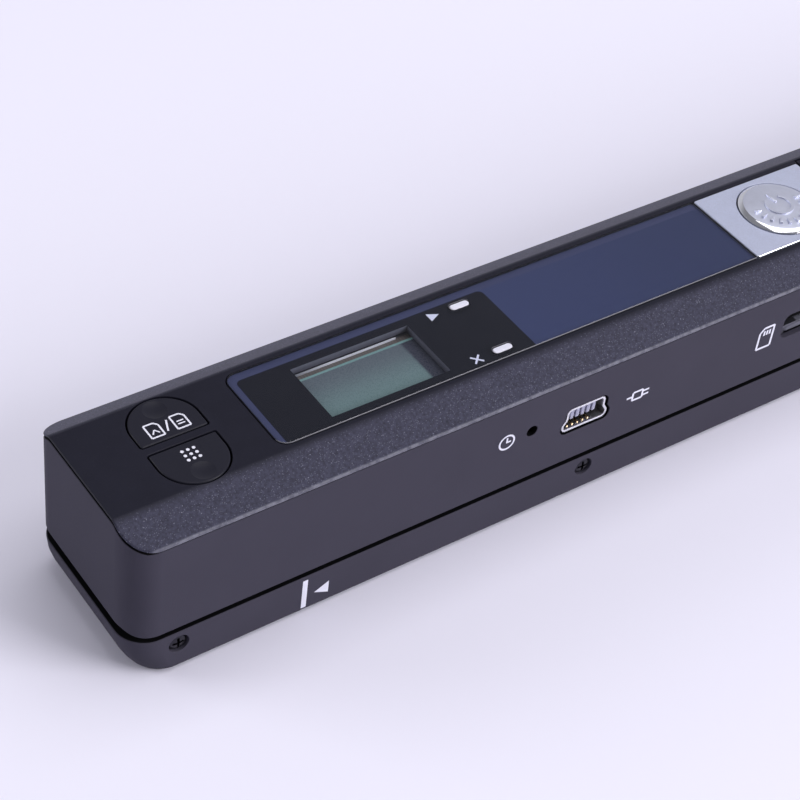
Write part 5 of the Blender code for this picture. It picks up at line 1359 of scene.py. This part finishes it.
class SCANNER_OT_usb_socket(Operator):
    """Make the socket's rolled steel shell, its tongue and its contacts"""

    bl_idname = "scanner.usb_socket"
    bl_label = "Data socket"

    def execute(self, context):
        front, back = USB[0].y, USB[1].y
        section = ((-0.10, back), (-0.10, front + 0.12), (-0.06, front + 0.03), (0.01, front),
                   (0.21, front), (0.27, front + 0.03), (0.30, front + 0.12), (0.30, back))
        rings = [ring(usb_outline(inset), level, "y") for inset, level in section]
        piece("usb_collar", loft(rings, closed=True), socket_steel, "scanner", ["usb_shell"])
        self.insert(front, back)
        return {"FINISHED"}

    def insert(self, front, back):
        """The tongue with its five pale ribs, and five contacts on the floor of the socket."""
        x, z = USB_MIDDLE
        plug = slab(usb_outline(0.4), back - 2.2, back - 0.1, "y")
        tongue = block((x - 2.6, front + 0.95, z - 0.5), (x + 2.5, back - 1.1, z + 1.2), 0.08)
        piece("usb_tongue", join(plug, tongue), black_plastic, "scanner", ["usb_insert"])
        ribs, contacts = [], []
        for number in (-2, -1, 0, 1, 2):
            u, v = x - 0.05 + number * 0.97, x - 0.75 + number * 0.93
            ribs.append(block((u - 0.31, front + 0.55, z - 0.55), (u + 0.31, front + 1.2, z + 1.15), 0.10))
            contacts.append(block((v - 0.16, front + 0.5, z - 1.72), (v + 0.16, front + 2.6, z - 1.5), 0.06))
        piece("usb_ribs", gather(ribs), pale_plastic, "scanner")
        piece("usb_contacts", gather(contacts), gold, "scanner")


class SCANNER_OT_card_slot(Operator):
    """Make the card socket and the card in it"""

    bl_idname = "scanner.card_slot"
    bl_label = "Card slot"

    def execute(self, context):
        low, high = box("card_socket")
        first, last = box("memory_card")
        gap = 0.15
        way = block((first.x - gap, low.y - OVER, first.z - gap), (last.x + gap, last.y + gap, last.z + gap))
        finger = block((first.x + 2.2, low.y - OVER, last.z - 0.1),
                       (last.x - 2.2, low.y + 1.3, high.z + OVER))
        piece("card_frame", cut(block(low[:], high[:], 0.12), way, finger), card_steel, "scanner",
              ["card_socket"])
        # A near-black sheet inside the wall round the card socket, put there as painted shade behind the
        # slot.
        inside = WALL - HALF_DEPTH + 0.05
        shroud = block((SLOT[0][0] - 0.8, inside, low.z - 0.2),
                       (SLOT[1][0] + 0.7, inside + 0.5, SLOT[1][1] + 0.8))
        room = block((low.x - 0.1, inside - OVER, low.z - OVER), (high.x + 0.1, inside + OVER, high.z + 0.1))
        piece("card_shroud", cut(shroud, room), painted_shade_plastic, "scanner")
        card = slab(rectangle(first[:2], last[:2], (0.6, 0.6, 0.3, 0.3)), first.z, last.z,
                    top=0.06, bottom=0.06, steps=2)
        ridge = block((first.x + 0.8, first.y + 0.3, last.z - 0.2),
                      (last.x - 0.8, first.y + 1.0, last.z + 0.12), 0.05)
        piece("card_body", join(card, ridge), card_plastic, "card", ["memory_card"])
        return {"FINISHED"}


# Printed marks, all plain pictograms

def stroke(first, last, width):
    """A bar between two points."""
    a, b = Vector(first), Vector(last)
    way = (b - a).normalized() * width / 2
    across = Vector((-way.y, way.x))
    return [tuple(a - across), tuple(b - across), tuple(b + across), tuple(a + across)]


def moved(middle, *points):
    """Points given as distances from a middle."""
    return [(middle[0] + u, middle[1] + v) for u, v in points]


def strokes(middle, width, *ends):
    """Bars of one width, with both ends of each as distances from a middle."""
    return [stroke(*moved(middle, (a, b), (c, d)), width) for a, b, c, d in ends]


def band(points, width):
    """A closed outline drawn as bars from point to point."""
    return [stroke(point, points[(i + 1) % len(points)], width) for i, point in enumerate(points)]


def page(middle, half_width, half_height, width):
    """A sheet of paper with one corner cut off."""
    u, v = half_width, half_height
    clip = half_width * 0.55
    return band(moved(middle, (-u, -v), (u, -v), (u, v - clip), (u - clip, v), (-u, v)), width)


def printed(name, outlines, face, axis="y", body="scanner"):
    """Thin printed shapes on a face."""
    height = shape("mark_height")
    low, high = (face - height, face + 0.03) if axis == "y" else (face - 0.03, face + height)
    return piece(name, join(*[slab(outline, low, high, axis) for outline in outlines]), printed_mark, body)


class SCANNER_OT_marks(Operator):
    """Print the plain marks on the front wall, the keys and the window"""

    bl_idname = "scanner.marks"
    bl_label = "Printed marks"

    def execute(self, context):
        self.front_marks()
        self.key_marks()
        self.window_marks()
        return {"FINISHED"}

    def front_marks(self):
        """A bar with an arrow, a card, a plug and a clock face."""
        face = -HALF_DEPTH
        corner = along(0), UNDERSIDE
        bar = rectangle(*moved(corner, (26.2, 0.8), (27.0, 6.2)), 0.1)
        printed("start_mark", [bar, moved(corner, (28.2, 3.0), (30.5, 1.9), (30.5, 4.1))], face)
        middle = along(107.05), 16.45
        card = moved(middle, (-1.35, -2.0), (1.35, -2.0), (1.35, 2.0), (-0.6, 2.0), (-1.35, 1.2))
        teeth = strokes(middle, 0.34, *((shift, 0.5, shift, 1.4) for shift in (-0.45, 0.1, 0.65)))
        printed("card_mark", band(card, 0.38) + teeth, face)
        middle = along(82.6), 15.7
        plug = band(moved(middle, (-1.1, -0.75), (0.7, -0.75), (0.7, 0.75), (-1.1, 0.75)), 0.34)
        plug += strokes(middle, 0.32, (0.7, 0.4, 1.9, 0.4), (0.7, -0.4, 1.9, -0.4))
        printed("socket_mark", plug + strokes(middle, 0.34, (-1.1, 0, -2.2, 0)), face)
        middle = along(58.6), 17.3
        clock = band(circle(middle, 1.25, 32), 0.3)
        printed("clock_mark", clock + strokes(middle, 0.28, (0, -0.1, 0, 0.85), (-0.1, 0, 0.7, 0)), face)

    def key_marks(self):
        """Two sheets with a dividing line on one key, and a field of dots on the other."""
        x, = middle_of("format_button", "x")
        sheets = page((x - 1.9, 2.95), 0.95, 1.25, 0.24) + page((x + 1.9, 2.95), 0.95, 1.25, 0.24)
        sheets += strokes((x, 0), 0.24, (-0.35, 2.0, 0.35, 3.9))
        sheets += strokes((x, 0), 0.2, (1.4, 2.5, 2.4, 2.5), (1.4, 3.0, 2.4, 3.0), (-2.4, 2.3, -1.9, 3.0),
                          (-1.9, 3.0, -1.4, 2.3))
        steps = (-0.85, 0, 0.85)
        middles = moved((x + 0.1, -3.0), *((u, v) for u in steps for v in steps))
        dots = [circle(middle, 0.24, 16) for middle in middles]
        printed("format_mark", sheets, box("format_button")[1].z, "z", "format_key")
        printed("density_mark", dots, box("dpi_button")[1].z, "z", "dpi_key")

    def window_marks(self):
        """An arrow beside one light and a cross beside the other."""
        face = PRINT_TOP - 0.005
        arrow = moved((box("scan_light")[0].x - 2.2, 4.6), (-0.9, -0.8), (0.8, 0), (-0.9, 0.8))
        printed("scan_label", [arrow], face, "z")
        middle = box("error_light")[0].x - 2.2, -5.65
        cross = strokes(middle, 0.3, (-0.7, -0.7, 0.7, 0.7), (-0.7, 0.7, 0.7, -0.7))
        printed("error_label", cross, face, "z")


# Screws and rollers

class SCANNER_OT_screws(Operator):
    """Make the cross-head screws in the tray's walls"""

    bl_idname = "scanner.screws"
    bl_label = "Screws"

    def execute(self, context):
        for node in SCREWS:
            low, high = box(node)
            side, face, end = (1, high.y, low.y) if low.y > 0 else (-1, low.y, high.y)
            middle = middle_of(node, "xz")
            profile = [(0.8, end), (0.8, face - side * 1.0), (SCREW_RADIUS, face - side * 1.0),
                       (SCREW_RADIUS, face - side * 0.32), (SCREW_RADIUS - 0.06, face - side * 0.22)]
            for share in (0.85, 0.65, 0.4, 0.15):
                profile.append((SCREW_RADIUS * share, face - side * 0.2 * share * share))
            screw = cut(turned(profile, middle, "y", 32), *cross_recess(middle, face, side))
            piece(node + "_head", screw, black_steel, "scanner", [node])
        return {"FINISHED"}


def cross_recess(middle, face, side):
    """Two tapered bars that cut a cross."""
    tools = []
    for wide, tall in ((0.85, 0.19), (0.19, 0.85)):
        rings = []
        for share, rise in ((0.55, -0.75), (1.0, -0.15), (1.0, 0.5)):
            u, v = wide * (share if wide > tall else 1), tall * (share if tall > wide else 1)
            outline = rectangle(*moved(middle, (-u, -v), (u, v)))
            rings.append(ring(outline, face + side * rise, "y"))
        tools.append(loft(rings))
    return tools


class SCANNER_OT_wheels(Operator):
    """Make the ribbed rubber wheels"""

    bl_idname = "scanner.wheels"
    bl_label = "Wheels"

    def execute(self, context):
        for node in WHEELS:
            low, high = box(node)
            middle = middle_of(node, "yz")
            outline = ribbed(middle, (high.z - low.z) / 2, context.scene.scanner_shape.wheel_ribs)
            wheel = slab(outline, low.x, high.x, "x", top=0.18, bottom=0.18, steps=3)
            tyre = cut(wheel, rod(1.0, low.x - OVER, high.x + OVER, middle))
            piece(node + "_tyre", tyre, rubber, node.split("_")[0] + "_roller", [node])
        return {"FINISHED"}


def ribbed(middle, radius, ribs):
    """A round outline with ribs and shallow grooves between them."""
    outline = []
    for rib in range(ribs):
        for share, drop in ((0.0, 0.22), (0.14, 0.0), (0.5, 0.0), (0.64, 0.22)):
            angle, reach = 2 * math.pi * (rib + share) / ribs, radius - drop
            outline.append((middle[0] + reach * math.cos(angle), middle[1] + reach * math.sin(angle)))
    return outline


# Finishes of the pieces that keep their shape

KEPT = {
    circuit_board: ("display_board", "main_board", "sensor_board"),
    chip_black: ("main_chip", "memory_chip"),
    black_plastic: ("lcd_frame", "board_connector", "format_switch", "dpi_switch", "scan_switch",
                    "time_switch", "encoder_sensor", "sensor_housing"),
    acetal: ("format_plunger", "dpi_plunger", "scan_plunger", "time_plunger", "drive_gear", "encoder_wheel"),
    steel: ("front_shaft", "rear_shaft", "battery_spring", "battery_contact"),
    bronze: BUSHES,
    clear_acrylic: ("rod_lens_array", "light_guide"),
    scan_glass: ("scan_glass",),
    cell_wrap: ("left_cell", "right_cell"),
    cable_film: ("flat_cable",),
}


class SCANNER_OT_inner_parts(Operator):
    """Give the pieces that keep their own shape their finishes"""

    bl_idname = "scanner.inner_parts"
    bl_label = "Inner parts"

    def execute(self, context):
        for make, nodes in KEPT.items():
            for node in nodes:
                for slot_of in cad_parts[node].material_slots:
                    slot_of.material = finish(make)
        return {"FINISHED"}


# Studio

CAMERA_PLACE = (-212.16, -162.10, 211.94)
CAMERA_RIGHT = (0.8205, -0.5633, 0.0975)
CAMERA_UP = (0.3259, 0.6010, 0.7297)
SENSOR_WIDTH = 36.0


def lamp(name, place, aim, size, power, tint):
    """A square soft lamp that looks at a place."""
    light = bpy.data.lights.new(name, "AREA")
    light.shape = "SQUARE"
    light.size = size
    light.energy = power
    light.color = tint
    made = bpy.data.objects.new(name, light)
    made.location = place
    made.rotation_mode = "QUATERNION"
    made.rotation_quaternion = (Vector(aim) - Vector(place)).to_track_quat("-Z", "Y")
    bpy.context.scene.collection.objects.link(made)
    return made


class SCANNER_OT_studio(Operator):
    """Make the floor, the lamps, the room light and the camera"""

    bl_idname = "scanner.studio"
    bl_label = "Studio"

    def execute(self, context):
        self.floor()
        self.lamps(context.scene.scanner_studio)
        self.room(context.scene, context.scene.scanner_studio)
        self.camera(context.scene)
        return {"FINISHED"}

    def floor(self):
        floor = helper("studio_floor", slab(circle((0, 0), 5000, 64), -2, 0))
        floor.data.transform(Matrix.Scale(MM, 4))
        floor.data.materials.append(finish(studio_floor))
        floor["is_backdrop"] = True

    def lamps(self, studio):
        aim = (-0.06, 0, 0.01)
        lamp("front_lamp", (0.80, -1.10, 0.70), aim, 0.8, studio.front, (1.0, 0.985, 1.0))
        lamp("left_lamp", (-1.15, 0.85, 0.60), aim, 0.7, studio.left, (0.98, 0.98, 1.0))
        lamp("top_lamp", (0.30, -0.05, 1.5), aim, 1.3, studio.above, (1.0, 0.99, 1.0))

    def room(self, scene, studio):
        """Even light, weaker from above and from the camera's side."""
        world = bpy.data.worlds.new("room")
        world.use_nodes = True
        room = Paint("room", world.node_tree)
        x, y, z = room.axes("Generated", 1)
        side = (x + y).ramp(-1.25, -0.35)
        low = 1 - z.ramp(0.35, 0.75)
        strength = studio.world * (0.22 + side * (0.30 + low * 0.70))
        light = {"Color": (0.93, 0.93, 1.0, 1), "Strength": strength}
        room.node("ShaderNodeOutputWorld", None, {"Surface": room.node("ShaderNodeBackground", None, light)})
        scene.world = world

    def camera(self, scene):
        right, up = Vector(CAMERA_RIGHT).normalized(), Vector(CAMERA_UP).normalized()
        back = right.cross(up)
        data = bpy.data.cameras.new("camera")
        data.sensor_width = SENSOR_WIDTH
        data.lens = scene.scanner_studio.lens
        data.clip_start, data.clip_end = 0.01, 50
        made = bpy.data.objects.new("camera", data)
        turn = Matrix((right, up, back)).transposed().to_4x4()
        made.matrix_world = Matrix.Translation(Vector(CAMERA_PLACE) * MM) @ turn
        scene.collection.objects.link(made)
        scene.camera = made
        scene.view_settings.view_transform = "Standard"


OPERATORS = (SCANNER_OT_top_cover, SCANNER_OT_housings, SCANNER_OT_battery_door, SCANNER_OT_window,
             SCANNER_OT_lights, SCANNER_OT_keys, SCANNER_OT_plate_and_button, SCANNER_OT_usb_socket,
             SCANNER_OT_card_slot, SCANNER_OT_marks, SCANNER_OT_screws, SCANNER_OT_wheels,
             SCANNER_OT_inner_parts, SCANNER_OT_studio)
GROUPS = (("scanner_shape", ScannerShape), ("scanner_colours", ScannerColours),
          ("scanner_studio", ScannerStudio))


class SCANNER_PT_pieces(Panel):
    """Sizes, colours and pieces of the scanner"""

    bl_label = "Handheld scanner"
    bl_idname = "SCANNER_PT_pieces"
    bl_space_type = "VIEW_3D"
    bl_region_type = "UI"
    bl_category = "Scanner"

    def draw(self, context):
        for name, group in GROUPS:
            part = self.layout.box()
            part.label(text=group.__doc__)
            for setting in group.__annotations__:
                part.prop(getattr(context.scene, name), setting)
        part = self.layout.box()
        for operator in OPERATORS:
            part.operator(operator.bl_idname)


CLASSES = (*(group for _, group in GROUPS), *OPERATORS, SCANNER_PT_pieces)


def register():
    for kind in CLASSES:
        bpy.utils.register_class(kind)
    for name, group in GROUPS:
        setattr(bpy.types.Scene, name, PointerProperty(type=group))


def unregister():
    for name, _ in GROUPS:
        delattr(bpy.types.Scene, name)
    for kind in reversed(CLASSES):
        bpy.utils.unregister_class(kind)


def main():
    register()
    for operator in OPERATORS:
        getattr(bpy.ops.scanner, operator.bl_idname.split(".")[1])()
    boxes = {"cad": CAD_BOX, "visual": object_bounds()}
    {name: [list(corner) for corner in corners] for name, corners in boxes.items()}


if __name__ == "__main__":
    main()
